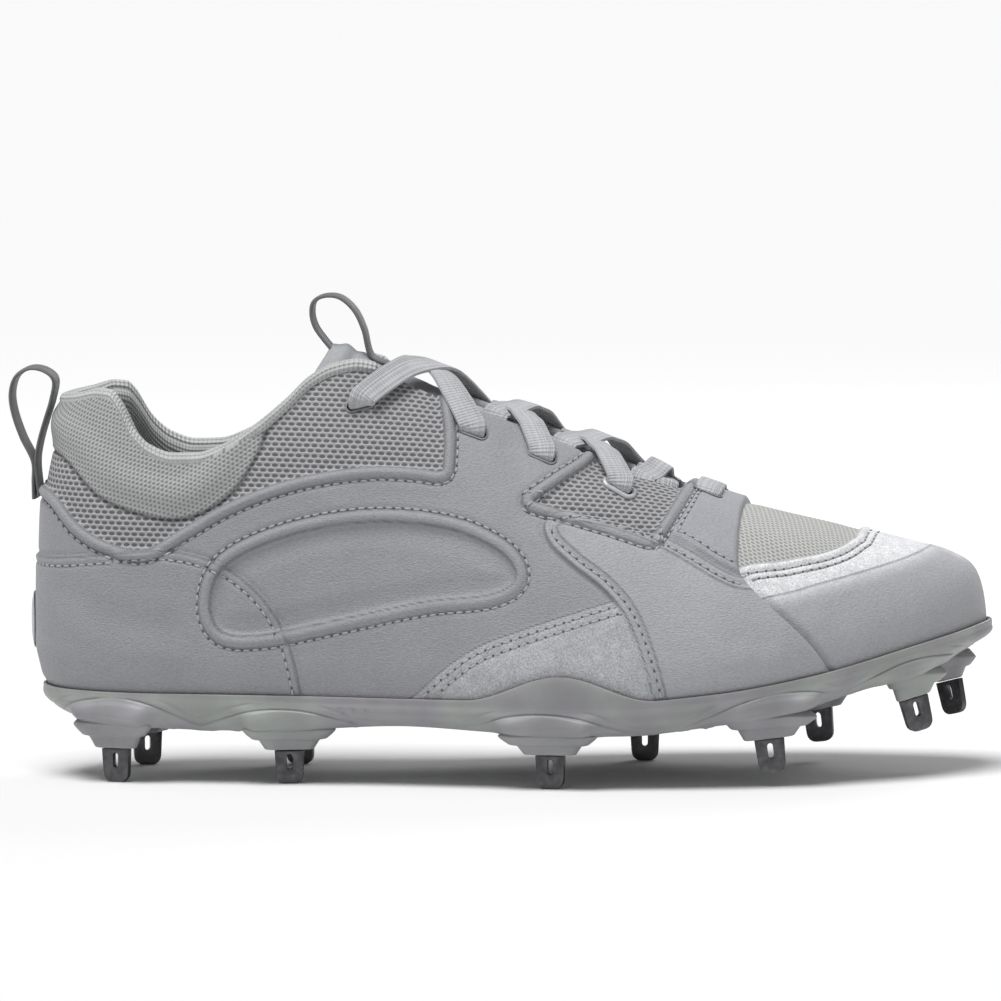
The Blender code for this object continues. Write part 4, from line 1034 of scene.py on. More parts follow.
def place_camera():
    a, e, r = (math.radians(v) for v in (CAMERA_AZIMUTH, CAMERA_ELEVATION, CAMERA_ROLL))
    right = Vector((math.cos(a), math.sin(a), 0))
    back = Vector((math.sin(a) * math.cos(e), -math.cos(a) * math.cos(e), math.sin(e)))
    up = back.cross(right)
    turned_right = right * math.cos(r) - up * math.sin(r)
    turned_up = right * math.sin(r) + up * math.cos(r)
    per_metre = PIXELS_PER_MM * 1000
    target = ANCHOR + Vector(CARRIER)
    target += turned_right * ((IMAGE_SIZE / 2 - ANCHOR_PIXEL[0]) / per_metre)
    target += turned_up * ((ANCHOR_PIXEL[1] - IMAGE_SIZE / 2) / per_metre)
    data = bpy.data.cameras.new("camera")
    data.sensor_width = SENSOR
    data.lens = SENSOR * CAMERA_DISTANCE * per_metre / IMAGE_SIZE
    data.clip_end = 50.0
    camera = bpy.data.objects.new("camera", data)
    bpy.context.scene.collection.objects.link(camera)
    matrix = Matrix((turned_right, turned_up, back)).transposed().to_4x4()
    matrix.translation = target + back * CAMERA_DISTANCE
    camera.matrix_world = matrix
    bpy.context.scene.camera = camera


def area_light(name, place, target, size, power):
    data = bpy.data.lights.new(name, "AREA")
    data.shape = "DISK"
    data.size = size
    data.energy = power
    light = bpy.data.objects.new(name, data)
    bpy.context.scene.collection.objects.link(light)
    light.location = place
    light.rotation_euler = (Vector(target) - Vector(place)).to_track_quat("-Z", "Y").to_euler()


def make_studio():
    clear_selection()
    bpy.ops.mesh.primitive_plane_add(size=FLOOR_SIZE)
    floor = bpy.context.object
    floor.name = "floor"
    material, tree, shader = new_material("pale_floor", 0.9)
    shader.inputs["Base Color"].default_value = (FLOOR_TONE, FLOOR_TONE, FLOOR_TONE, 1)
    floor.data.materials.append(material)
    world = bpy.data.worlds.new("studio")
    world.use_nodes = True
    world.node_tree.nodes["Background"].inputs[0].default_value = (1, 1, 1, 1)
    world.node_tree.nodes["Background"].inputs[1].default_value = WORLD_LIGHT
    bpy.context.scene.world = world
    bpy.context.scene.view_settings.view_transform = "Standard"
    data = bpy.data.lights.new("overhead", "SUN")
    data.energy = SUN_LIGHT
    data.angle = math.radians(SUN_SPREAD)
    sun = bpy.data.objects.new("overhead", data)
    bpy.context.scene.collection.objects.link(sun)
    sun.rotation_euler = Vector(SUN_FROM).to_track_quat("Z", "Y").to_euler()
    area_light("rim", *RIM_LIGHT)


place_camera()
make_studio()


# The sewn upper

QUARTER_COLUMNS = 660
QUARTER_ROWS = 126
EDGE_ROWS = 8
INNER_ROWS = 14
# The quarters' wall stops below the collar's line, and its layers thin out over the sole's rim
TOP_MARGIN = 1.2 * MM
HEM = (0.3 * MM, 4 * MM)
FRONT_SINK = 0.4 * MM
FRONT_GUESS = 0.75
FRONT_PASSES = 12
# The vamp starts behind the quarters' front line, by a share of the upper, and lies under them
VAMP_UNDER = 0.010
VAMP_FADE = (0.02, 0.075)
VAMP_SINK = 0.2 * MM
VAMP_COLUMNS = 160
VAMP_ROWS = 300


def front_share(height):
    """Where the quarters' front edge runs at a height above the ground."""
    line = smooth_line(FRONT_LINE, 0.5)
    order = np.argsort(line[:, 1])
    return np.interp(height * 1000, line[order, 1], line[order, 0]) / 1000 / UPPER_LENGTH


def girth_table():
    """Length along the wall, a third of the way up, from the heel's back to each station."""
    return lengths(LAST_POINTS[0, :, TABLE_ROWS // 3])


GIRTH = girth_table()


def share_along(length):
    return (1 - np.cos(math.pi * np.interp(length, GIRTH, np.linspace(0, 1, TABLE_STATIONS)))) / 2


def girth_at(share):
    return np.interp(end_angle(share), np.linspace(0, 1, TABLE_STATIONS), GIRTH)


def eyelet_frame(number, side):
    """Centre, outward direction, long and short ways of an eyelet's slot, as the CAD cuts it."""
    share, below, turn = EYELETS[number]
    way = way_across(share, edge_across(share) + below)
    centre, normal = on_last(share, way, side)
    centre, normal = Vector(centre), Vector(normal)
    forward = Vector((1, 0, -0.35)).normalized()
    forward = (forward - normal * forward.dot(normal)).normalized()
    down = normal.cross(forward).normalized()
    angle = math.radians(turn)
    long_way = forward * math.cos(angle) + down * math.sin(angle)
    return centre, normal, long_way, normal.cross(long_way)


SLOT_SNAP = 0.42 * MM
SLOT_DIMPLE = 0.35 * MM
SLOT_DIMPLE_REACH = 1.6 * MM
# Along, across and deep: how far from a slot's centre its vertices are looked for
SLOT_BOX = (8 * MM, 6 * MM, 6 * MM)
SLOT_LENGTH = 8.6 * MM
SLOT_WIDTH = 2.6 * MM


def slot_distance(points, side):
    """Distance outside the nearest lace slot, negative within it."""
    best = np.full(len(points), 1.0)
    for number in range(len(EYELETS)):
        centre, normal, long_way, short_way = eyelet_frame(number, side)
        place = points - np.array(centre)
        along = place @ np.array(long_way)
        across = place @ np.array(short_way)
        beyond = np.maximum(np.abs(along) - (SLOT_LENGTH - SLOT_WIDTH) / 2, 0)
        best = np.minimum(best, np.hypot(beyond, across) - SLOT_WIDTH / 2)
    return best


def rising(share, way, side):
    """The direction up the wall."""
    below = read_table(LAST_POINTS, share, way - 0.01, side)
    return unit(read_table(LAST_POINTS, share, way, side) - below)


def make_quarters():
    """Both quarters in one wall: outside, rolled edge, and inside down to the feather again."""
    around = QUARTER_ROWS + EDGE_ROWS + INNER_ROWS + 1
    piece, i, j, columns, rows = grid_piece("quarters", QUARTER_COLUMNS, around)
    c = 2 * i / columns - 1
    side = np.where(c < 0, LATERAL, MEDIAL)
    outer = j <= QUARTER_ROWS
    up = np.where(outer, j / QUARTER_ROWS, 1.0)
    inner = np.clip((j - QUARTER_ROWS - EDGE_ROWS) / INNER_ROWS, 0, 1)
    up = np.where(j > QUARTER_ROWS + EDGE_ROWS, 1 - inner, up)
    share = np.abs(c) * FRONT_GUESS
    for _ in range(FRONT_PASSES):
        top = np.minimum(edge_way(share) - TOP_MARGIN / wall_run(share), 1)
        way = up * top
        height = read_table(LAST_POINTS, share, way, side)[:, 2]
        share = share_along(np.abs(c) * girth_at(front_share(height)))
    base, normal = on_last(share, way, side)
    lift, masks = over_last(base, side, quarter_layers)
    for s in BOTH_SIDES:
        mine = side == s
        lift[mine] -= SLOT_DIMPLE * bump_at(slot_distance(base[mine], s), 0, SLOT_DIMPLE_REACH)
    rim = rim_height(share, side)
    hem = ramp(way * wall_run(share), rim + HEM[0], rim + HEM[1])
    lift = np.minimum(lift, (GAP + OVERLAY) + (lift - GAP - OVERLAY) * hem)
    closing = ramp(np.abs(c), 1 - 1.5 / columns * 2, 1.0)
    lift = lift * (1 - closing) - FRONT_SINK * closing
    edge = (j > QUARTER_ROWS) & (j <= QUARTER_ROWS + EDGE_ROWS)
    turn = np.clip((j - QUARTER_ROWS) / EDGE_ROWS, 0, 1) * math.pi
    deeper = (lift + WALL) / 2
    middle = (lift - WALL) / 2
    ahead = rising(share, way, side)
    bend = middle + deeper * np.cos(turn)
    reach = np.where(edge, deeper * np.sin(turn), 0.0)
    offset = np.where(outer, lift, bend)
    offset = np.where(j > QUARTER_ROWS + EDGE_ROWS, -WALL, offset)
    points = base + normal * offset[:, None] + ahead * reach[:, None]
    last_row = j == rows
    points[last_row] = (base + normal * lift[:, None])[last_row]
    first = {}
    for n in np.where(j == 0)[0]:
        first[i[n]] = n
    for n in np.where(last_row)[0]:
        points[n] = points[first[i[n]]]
    put_vertices(piece, points + CARRIER)
    set_uv(piece, girth_at(share) * 1000 * np.sign(c), way * wall_run(share) * 1000)
    for name, values in masks.items():
        set_value(piece, name, values)
    cut_slots(piece)
    merged(piece)
    return smooth_shaded(piece, 70)


def cut_slots(piece):
    """Opens the lace slots: vertices near their outlines move onto them, and those inside go."""
    mesh = piece.data
    co = coordinates(mesh) - CARRIER
    drop = np.zeros(len(co), bool)
    for side in BOTH_SIDES:
        for number in range(len(EYELETS)):
            centre, normal, long_way, short_way = (np.array(v) for v in eyelet_frame(number, side))
            place = co - centre
            along, across, deep = place @ long_way, place @ short_way, place @ normal
            near = np.all([np.abs(v) < b for v, b in zip((along, across, deep), SLOT_BOX)], axis=0)
            spread = np.clip(along, -(SLOT_LENGTH - SLOT_WIDTH) / 2, (SLOT_LENGTH - SLOT_WIDTH) / 2)
            away = np.hypot(along - spread, across)
            pull = SLOT_SNAP * 1
            on_line = near & (np.abs(away - SLOT_WIDTH / 2) < pull)
            shift = (SLOT_WIDTH / 2 - away) / np.maximum(away, 0.1 * MM) * on_line
            co = co + long_way * ((along - spread) * shift)[:, None] + short_way * (across * shift)[:, None]
            drop |= near & ~on_line & (away < SLOT_WIDTH / 2)
    mesh.vertices.foreach_set("co", (co + CARRIER).ravel())
    select_only(piece)
    bpy.ops.object.mode_set(mode="EDIT")
    bpy.ops.mesh.select_mode(type="VERT")
    bpy.ops.mesh.select_all(action="DESELECT")
    bpy.ops.object.mode_set(mode="OBJECT")
    mesh.vertices.foreach_set("select", drop)
    bpy.ops.object.mode_set(mode="EDIT")
    bpy.ops.mesh.delete(type="VERT")
    bpy.ops.object.mode_set(mode="OBJECT")


def make_vamp():
    """The toe box over the ridge, from under the quarters' front edge to the toe."""
    piece, i, j, columns, rows = grid_piece("vamp", VAMP_COLUMNS, VAMP_ROWS)
    c = 2 * j / rows - 1
    side = np.where(c < 0, LATERAL, MEDIAL)
    way = 1 - np.abs(c)
    start = np.full(len(c), 0.8)
    for _ in range(FRONT_PASSES):
        height = read_table(LAST_POINTS, start, way, side)[:, 2]
        start = front_share(height) - VAMP_UNDER
    low, high = girth_at(start), GIRTH[-1]
    share = share_along(low + (high - low) * i / columns)
    base, normal = on_last(share, way, side)
    lift, masks = over_last(base, side, vamp_layers)
    under = 1 - ramp(i / columns, *VAMP_FADE)
    lift = lift * (1 - under) - VAMP_SINK * under
    put_vertices(piece, base + normal * lift[:, None] + CARRIER)
    set_uv(piece, girth_at(share) * 1000, (1 - way) * wall_run(share) * 1000 * np.sign(c))
    for name, values in masks.items():
        set_value(piece, name, values)
    merged(piece)
    applied(piece, "wall", "SOLIDIFY", thickness=WALL, offset=-1)
    return smooth_shaded(piece, 70)


# Collar, tongue and inside

PAD_HEIGHT = 0.024
PAD_THICKNESS = 0.0062
PAD_ROLL = 0.0028
PAD_FRONT = 0.074
PAD_CLEARANCE = 0.0008
BINDING_END = 0.373
BINDING_HALF_THICK = 2.3 * MM
BINDING_HALF_TALL = 2.35 * MM
BINDING_INSET = 0.15 * MM
BINDING_RISE = 0.2 * MM
BINDING_STATIONS = 420
LINING_END = 0.742
LINING_MARGIN = 1.6 * MM
LINING_GAP = 0.25 * MM
LINING_THICKNESS = 0.4 * MM
FOOTBED_THICKNESS = 2.6 * MM
FOOTBED_CUP = 1.6 * MM
FOOTBED_DROP = 0.6 * MM
FOOTBED_ROOM = 1.2 * MM
INSOLE_THICKNESS = 0.0040
TONGUE_THICKNESS = 0.0040
TONGUE_DEPTH = 0.0010
TONGUE_FRONT = 0.226
TONGUE_TOP = 0.0955
TONGUE_HALF = 0.026
TONGUE_WINGS = 0.015


def collar_walk(end, count):
    """Stations round the heel, from a share on the lateral side to the same on the medial side."""
    length = np.linspace(-1, 1, count) * girth_at(end)
    return share_along(np.abs(length)), np.where(length < 0, LATERAL, MEDIAL)


def make_binding():
    """The soft roll that binds the collar's edge."""
    share, side = collar_walk(BINDING_END, BINDING_STATIONS)
    way = edge_way(share)
    base, normal = on_last(share, way, side)
    up = rising(share, way, side)
    end = ramp(1 - np.abs(np.linspace(-1, 1, len(share))), 0.0, 0.02)
    size = 0.35 + 0.65 * np.sqrt(end)
    centre = base - normal * BINDING_INSET + up * BINDING_RISE
    angle = np.linspace(0, 2 * math.pi, 20, endpoint=False)
    rings = (
        centre[:, None]
        + normal[:, None] * (BINDING_HALF_THICK * np.cos(angle))[None, :, None] * size[:, None, None]
        + up[:, None] * (BINDING_HALF_TALL * np.sin(angle))[None, :, None] * size[:, None, None]
    )
    return tube_piece("collar_binding", rings)


def dense_rings(rings, between):
    """More points round each closed ring, on a smooth line through those given."""
    before, after, beyond = (np.roll(rings, shift, axis=1) for shift in (1, -1, -2))
    steps = np.linspace(0, 1, between, endpoint=False)
    parts = [catmull_rom(before, rings, after, beyond, t) for t in steps]
    return np.stack(parts, axis=2).reshape(len(rings), -1, 3)


def make_padding():
    """Foam round the inside of the collar, thinning towards the throat."""
    end = PAD_FRONT / UPPER_LENGTH
    share, side = collar_walk(end, 220)
    part = share / end
    depth = PAD_HEIGHT * (1 - 0.72 * part**3)
    swell = PAD_THICKNESS * (1 - 0.45 * part**3)
    close = np.sqrt(ramp(1 - part, 0, 0.08))
    inner = WALL + PAD_CLEARANCE
    rows = (
        (0.35, 0.6 * PAD_ROLL, 0),
        (0.62, 0.72 * PAD_ROLL, 0),
        (0.90, 0.2 * PAD_ROLL, 0),
        (1.03, 0, 0.24), (1.0, 0, 0.50), (0.80, 0, 0.74), (0.42, 0, 0.95), (0.0, 0, 1.0),
        (0.0, 0, 0.75), (0.0, 0, 0.50), (0.0, 0, 0.25), (0.0, 0, 0.02),
    )
    rings = np.zeros((len(share), len(rows), 3))
    for number, (inward, rise, below) in enumerate(rows):
        height = edge_height(share) - below * depth
        way = way_at_height(share, height)
        base, normal = on_last(share, way, side)
        inset = inner + (swell * inward) * (0.4 + 0.6 * close)
        point = base - normal * inset[:, None]
        point[:, 2] += rise * (0.3 + 0.7 * close)
        rings[:, number] = point
    return tube_piece("collar_foam", dense_rings(rings, 4))


def make_lining():
    """The textile that lines the quarters, from the insole to the edge."""
    piece, i, j, columns, rows = grid_piece("quarter_lining", 260, 44)
    c = 2 * i / columns - 1
    side = np.where(c < 0, LATERAL, MEDIAL)
    share = share_along(np.abs(c) * girth_at(LINING_END))
    way = (j / rows) * np.minimum(edge_way(share) - LINING_MARGIN / wall_run(share), 1)
    base, normal = on_last(share, way, side)
    put_vertices(piece, base - normal * (WALL + LINING_GAP) + CARRIER)
    set_uv(piece, girth_at(share) * 1000 * np.sign(c), way * wall_run(share) * 1000)
    merged(piece)
    piece.data.flip_normals()
    applied(piece, "wall", "SOLIDIFY", thickness=LINING_THICKNESS, offset=1)
    return smooth_shaded(piece)


def make_insole():
    """A shaped footbed, cupped a little along its edge."""
    piece, i, j, columns, rows = grid_piece("footbed", 150, 44)
    share = share_along(0.004 + (girth_at(0.985) - 0.004) * i / columns)
    w = 2 * j / rows - 1
    half = 0.5 * BALL_BREADTH * last_value("breadth", share) - FEATHER_TUCK - WALL - FOOTBED_ROOM
    half = np.maximum(half, 0.5 * MM)
    points = np.zeros((len(share), 3))
    points[:, 0] = np.clip(share * UPPER_LENGTH, 0.0055, UPPER_LENGTH - 0.006)
    points[:, 1] = BALL_BREADTH * last_value("middle", share) + w * half
    points[:, 2] = feather_height(share) + INSOLE_THICKNESS - FOOTBED_DROP + FOOTBED_CUP * np.abs(w) ** 5
    put_vertices(piece, points + CARRIER)
    set_uv(piece, points[:, 0] * 1000, points[:, 1] * 1000)
    applied(piece, "wall", "SOLIDIFY", thickness=FOOTBED_THICKNESS, offset=-1)
    return smooth_shaded(piece)


TONGUE_TIP = 0.0030


def make_tongue():
    """A padded tongue under the laces; its top stands out of the collar with a sewn edge."""
    rows, columns = 150, 64
    t = np.linspace(0, 1, rows)[:, None]
    u = np.linspace(-1, 1, columns)[None, :]
    reach = TONGUE_HALF * (0.62 + 0.38 * np.minimum(1.0, 1.6 * t))
    reach = reach * (1 - 0.12 * np.maximum(0, t - 0.9) / 0.1)
    wings = np.abs(u) ** 2.2 * (1 - 0.72 * np.abs(u) ** 8)
    stop = TONGUE_TOP - TONGUE_TIP - 0.62 * TONGUE_WINGS * wings
    along = TONGUE_FRONT + (stop - TONGUE_FRONT) * t
    share = along / UPPER_LENGTH
    across = u * reach
    side = np.where(across < 0, LATERAL, MEDIAL)
    base, normal = on_last(share, way_across(share, across), side)
    thick = TONGUE_THICKNESS * (1 + 0.9 * t * t)
    end = np.sqrt(np.clip(1 - ((t - 0.985) / 0.015).clip(0, 1) ** 2, 0.02, 1))
    thick = thick * end * (np.clip(1 - np.abs(u) ** 6, 0.04, 1)) ** 0.5
    deep = WALL + GAP + TONGUE_DEPTH
    welt = 0.7 * MM * bump_at(t, 0.955, 0.022) - 0.5 * MM * bump_at(t, 0.925, 0.012)
    puff = 0.5 * MM * np.cos(u * math.pi / 2) * ramp(t, 0.6, 0.85)
    middle = -deep - TONGUE_THICKNESS * 0.5 * (1 + 0.9 * t * t)
    outer = base + normal * (middle + thick / 2 + welt + puff)[..., None]
    inner = base + normal * (middle - thick / 2)[..., None]
    rings = np.concatenate([outer, inner[:, ::-1]], axis=1)
    return tube_piece("padded_tongue", rings)


# Loops, badge, laces

HEEL_LOOP_FEET = ((0.0310, 0.0018), (0.0255, 0.0026))
HEEL_LOOP_ROUTE = (
    (-0.0105, -0.0190), (-0.0140, -0.0115), (-0.0165, -0.0040), (-0.0172, 0.0022), (-0.0155, 0.0075),
    (-0.0112, 0.0101), (-0.0064, 0.0093), (-0.0034, 0.0062),
)
HEEL_LOOP_BACK = ((0.0000, 0.0030), (0.0060, 0.0030), (0.0130, 0.0036), (0.0200, 0.0030), (0.0300, 0.0002))
TONGUE_LOOP_REACH = (0.0175, 0.0115)
TONGUE_LOOP_ROUTE = (
    (0.0086, 0.0052), (0.0058, 0.0112), (0.0014, 0.0152), (-0.0034, 0.0158), (-0.0070, 0.0140),
    (-0.0077, 0.0100), (-0.0066, 0.0060), (-0.0040, 0.0022), (-0.0012, -0.0012),
)
HEEL_LOOP_WIDTH = 0.0110
TONGUE_LOOP_WIDTH = 0.0085
LOOP_THICKNESS = 1.3 * MM


def ribbon_rings(centres, widths, normals, width, thickness, steps=9):
    """Rings of a flat ribbon with round edges, from its middle line and its two directions."""
    half = np.linspace(0, math.pi, steps)
    flat = np.sign(np.cos(half)) * np.abs(np.cos(half)) ** 0.6
    round_it = np.sin(half) ** 0.45
    x = np.concatenate([flat, -flat[1:-1]])
    y = np.concatenate([round_it, -round_it[1:-1]])
    width = np.broadcast_to(width, len(centres))
    return (
        centres[:, None]
        + widths[:, None] * (x[None] * width[:, None] / 2)[..., None]
        + normals[:, None] * (y * thickness / 2)[None, :, None]
    )


def loop_piece(name, route, width, across):
    line = smooth_line(route, 0.0008)
    points = np.stack([line[:, 0], np.full(len(line), across), line[:, 1]], axis=1)
    ahead = unit(np.gradient(points, axis=0))
    widths = np.tile((0.0, 1.0, 0.0), (len(points), 1))
    return tube_piece(name, ribbon_rings(points, widths, np.cross(widths, ahead), width, LOOP_THICKNESS))


def make_loops():
    top, _ = on_last(0.0, edge_way(0.0), LATERAL)

    def beside_wall(places):
        found = []
        for below, room in places:
            wall = read_table(LAST_POINTS, 0.0, way_at_height(0.0, top[2] - below)[0], LATERAL)
            found.append((wall[0] - GAP - OVERLAY - room, wall[2]))
        return found

    heel = beside_wall(HEEL_LOOP_FEET)
    heel += [(top[0] + x, top[2] + z) for x, z in HEEL_LOOP_ROUTE]
    heel += beside_wall(HEEL_LOOP_BACK)
    deep = WALL + GAP + TONGUE_DEPTH
    tip, _ = on_last(TONGUE_TOP / UPPER_LENGTH, 1.0, MEDIAL, -deep)
    tongue = []
    for reach in TONGUE_LOOP_REACH:
        lying, _ = on_last((TONGUE_TOP + reach) / UPPER_LENGTH, 1.0, MEDIAL, PAD_CLEARANCE - deep)
        tongue.append((lying[0], lying[2]))
    tongue += [(tip[0] + x, tip[2] + z) for x, z in TONGUE_LOOP_ROUTE]
    return (
        loop_piece("heel_ribbon", heel, HEEL_LOOP_WIDTH, 0.0),
        loop_piece("tongue_ribbon", tongue, TONGUE_LOOP_WIDTH, float(tip[1])),
    )


BADGE_HEIGHT = 0.0180
BADGE_BREADTH = 0.0150
BADGE_THICKNESS = 0.0016
BADGE_ABOVE_FEATHER = 0.0200
HEEL_ROUNDING = 0.030


def make_badge():
    """A plain low dome with a fine step round it."""
    clear_selection()
    bpy.ops.mesh.primitive_uv_sphere_add(segments=56, ring_count=28, radius=0.5)
    piece = bpy.context.object
    piece.name = piece.data.name = "plain_badge"
    height = float(feather_height(0.0)) + BADGE_ABOVE_FEATHER
    back, _ = on_last(0.0, way_at_height(0.0, height)[0], LATERAL)
    for vertex in piece.data.vertices:
        x, y, z = vertex.co
        round_out = math.hypot(y, z) * 2
        dome = x * (0.75 if round_out > 0.8 else 1.0)
        y, z = y * BADGE_BREADTH, z * BADGE_HEIGHT
        wrap = y * y / (2 * HEEL_ROUNDING)
        vertex.co = Vector(
            (
                back[0] - 2 * GAP - OVERLAY - BADGE_THICKNESS / 2 + dome * BADGE_THICKNESS * 1.1 + wrap,
                y,
                height + z,
            )
        ) + Vector(CARRIER)
    return smooth_shaded(piece)


LACE_WIDTH = 0.0085
LACE_THICKNESS = 0.0013
LACE_CLEARANCE = 0.0009
LACE_DIP = 0.42
LACE_SINK = 0.0012
LACE_EDGE_LEAD = 0.022
LACE_BAR_LEAD = 0.042
LACE_EDGE_SPACE = 0.0044
UNDER_EDGE = 3.15 * MM
# A tucked lace's last points: how far under the eyestay's edge, and how far out of the last
LACE_TAIL = ((0.6 * MM, -2.6 * MM), (4.5 * MM, -UNDER_EDGE), (9.0 * MM, -UNDER_EDGE))
# Points of a run that give way to its turn into a slot
LACE_KEEP = 3
LACE_TURN = 6.2 * MM
LACE_ROUNDING = 3.6 * MM
LACE_TAPER = 0.62


def into_slot(number, side, toward):
    """The lace's last points, from over the eyestay down through its slot."""
    centre, normal, long_way, _ = (np.array(v) for v in eyelet_frame(number, side))
    away = toward - centre
    away = unit(away - normal * (away @ normal))
    points = [
        centre + away * 2.6 * MM + normal * 2.75 * MM,
        centre + away * 1.1 * MM + normal * 2.40 * MM,
        centre - away * 0.15 * MM + normal * 1.45 * MM,
        centre - away * 0.35 * MM - normal * 0.3 * MM,
        centre - away * 0.35 * MM - normal * 2.9 * MM,
    ]
    return points, [long_way] * len(points), normal


def lace_run(start, end, start_hole, end_hole, over):
    """Middle line, width and outward directions of one run; over lifts it across its partner."""
    steps = 26
    t = np.linspace(0, 1, steps)
    share = start[0] + (end[0] - start[0]) * t
    across = start[1] + (end[1] - start[1]) * t
    ends = np.where(t < 0.5, start[2], end[2])
    rise = np.minimum(1.0, np.abs(2 * t - 1) / LACE_DIP)
    offset = LACE_CLEARANCE + (ends - LACE_CLEARANCE) * rise * rise * (3 - 2 * rise)
    offset = offset + LACE_THICKNESS / 2 + over * 1.15 * LACE_THICKNESS * bump_at(t, 0.5, 0.42)
    side = np.where(across < 0, LATERAL, MEDIAL)
    points, normals = on_last(share, way_across(share, across), side, offset)
    widths = unit(np.cross(np.gradient(points, axis=0), normals))
    points, widths, normals = list(points), list(widths), list(normals)
    for here, there, hole in ((start, end, start_hole), (end, start, end_hole)):
        for rows in (points, widths, normals):
            rows.reverse()
        if hole is not None:
            extra, wide, normal = into_slot(*hole, points[-2])
            near = widths[-1 - LACE_KEEP]
            points[-LACE_KEEP:] = extra
            widths[-LACE_KEEP:] = [w if near @ w > 0 else -w for w in wide]
            normals[-LACE_KEEP:] = [normal] * len(extra)
            continue
        edge = float(edge_across(here[0]))
        drift = (here[0] - there[0]) * 0.10
        for further, lift in LACE_TAIL:
            where = here[0] + drift * (further + LACE_EDGE_SPACE) / LACE_TAIL[-1][0]
            point, normal = on_last(where, way_across(where, edge + further), np.sign(here[1]), lift)
            points.append(point)
            normals.append(normal)
            widths.append(widths[-1])
    points, widths = smooth_rows(np.array(points), np.array(widths), 0.0008)
    ahead = unit(np.gradient(points, axis=0))
    widths = unit(widths - ahead * (widths * ahead).sum(axis=1, keepdims=True))
    return points, widths, np.cross(ahead, widths)


def smooth_rows(points, widths, step):
    """Both tables along one smooth line."""
    both = smooth_line(np.hstack([points, widths * 0.002]), step)
    return both[:, :3], unit(both[:, 3:])


def make_laces():
    """Flat laces through the slots: a bar in front, three crossings that dive under, one on top."""
    above = GAP + OVERLAY + LACE_CLEARANCE

    def on_eyestay(number, side):
        share, below, _ = EYELETS[number]
        return (share, side * (float(edge_across(share)) + below - 0.5 * SLOT_WIDTH), above)

    def at_edge(number, side, lead=LACE_EDGE_LEAD):
        share = EYELETS[number][0] + lead
        return (share, side * (float(edge_across(share)) - LACE_EDGE_SPACE), -LACE_SINK)

    rows = [("bar", [(on_eyestay(0, LATERAL), on_eyestay(0, MEDIAL), (0, LATERAL), (0, MEDIAL))])]
    lowest = [(at_edge(0, s, -LACE_BAR_LEAD), at_edge(1, -s), None, None) for s in BOTH_SIDES]
    rows.append(("crossing_1", lowest))
    for n in (1, 2):
        tucked = [(on_eyestay(n, s), at_edge(n + 1, -s), (n, s), None) for s in BOTH_SIDES]
        rows.append(("crossing_%d" % (n + 1), tucked))
    rows.append(("crossing_4", [(on_eyestay(3, s), on_eyestay(4, -s), (3, s), (4, -s)) for s in BOTH_SIDES]))
    laces = []
    for label, runs in rows:
        strands = []
        for number, run in enumerate(runs):
            points, widths, normals = lace_run(*run, number)
            run_length = lengths(points)
            width = np.full(len(points), LACE_WIDTH)
            for hole, from_end in ((run[2], run_length), (run[3], run_length[-1] - run_length)):
                if hole is not None:
                    bend = np.clip((LACE_TURN - from_end) / LACE_ROUNDING, 0, 1)
                    width = width * np.sqrt(1 - LACE_TAPER * bend**2)
            rings = ribbon_rings(points, widths, normals, width, LACE_THICKNESS * 1.15, 11)
            strands.append(tube_piece("strand", rings))
        laces.append((joined(strands, "flat_lace_" + label), "lace_" + label))
    return laces


def make_rings():
    """Round each slot a rim: a moulded ring at the mesh, and at the others a thin punched rim whose dark
    colour is painted shade round the slot.
    """
    moulded_rings, thin = [], []
    for side in BOTH_SIDES:
        for number in range(len(EYELETS)):
            centre, normal, long_way, short_way = (np.array(v) for v in eyelet_frame(number, side))
            rise, _ = quarter_layers(centre[None], side)
            ring = number == 1
            radius = 0.85 * MM if ring else 0.32 * MM
            grow = 0.7 * MM if ring else 0.27 * MM
            angle = np.linspace(0, 2 * math.pi, 49)
            half = (SLOT_LENGTH - SLOT_WIDTH) / 2
            r = SLOT_WIDTH / 2 + grow
            line = []
            for a in angle:
                line.append(
                    centre
                    + long_way * (r * math.cos(a) + half * np.clip(7 * math.cos(a), -1, 1))
                    + short_way * (r * math.sin(a))
                )
            line = np.array(line)
            share, way = spot(line[:, 0], line[:, 2])
            lift = float(rise[0]) + (0.35 * MM if ring else 0.05 * MM)
            line, normals = on_last(share, way, side, lift)
            ahead = unit(np.roll(line[:-1], -1, axis=0) - np.roll(line[:-1], 1, axis=0))
            ahead = np.vstack([ahead, ahead[:1]])
            outward = np.cross(ahead, normals)
            turn = np.linspace(0, 2 * math.pi, 10, endpoint=False)
            rings = (
                line[:, None]
                + outward[:, None] * (radius * np.cos(turn))[None, :, None]
                + normals[:, None] * (radius * 0.8 * np.sin(turn))[None, :, None]
            )
            (moulded_rings if ring else thin).append(tube_piece("ring", rings, closed_ends=False))
    return joined(moulded_rings, "eyelet_rings"), joined(thin, "eyelet_rims")


# Stitches

STITCH_PITCH = 2.9 * MM
STITCH_LENGTH = 2.15 * MM
STITCH_HALF_WIDTH = 0.36 * MM
STITCH_HALF_HEIGHT = 0.26 * MM
STITCH_LIFT = 0.17 * MM
# Needle points: length, half width, half height
NEEDLE_POINT = (0.85 * MM, 0.42 * MM, 0.17 * MM)
HEEL_STITCH_START = 0.006


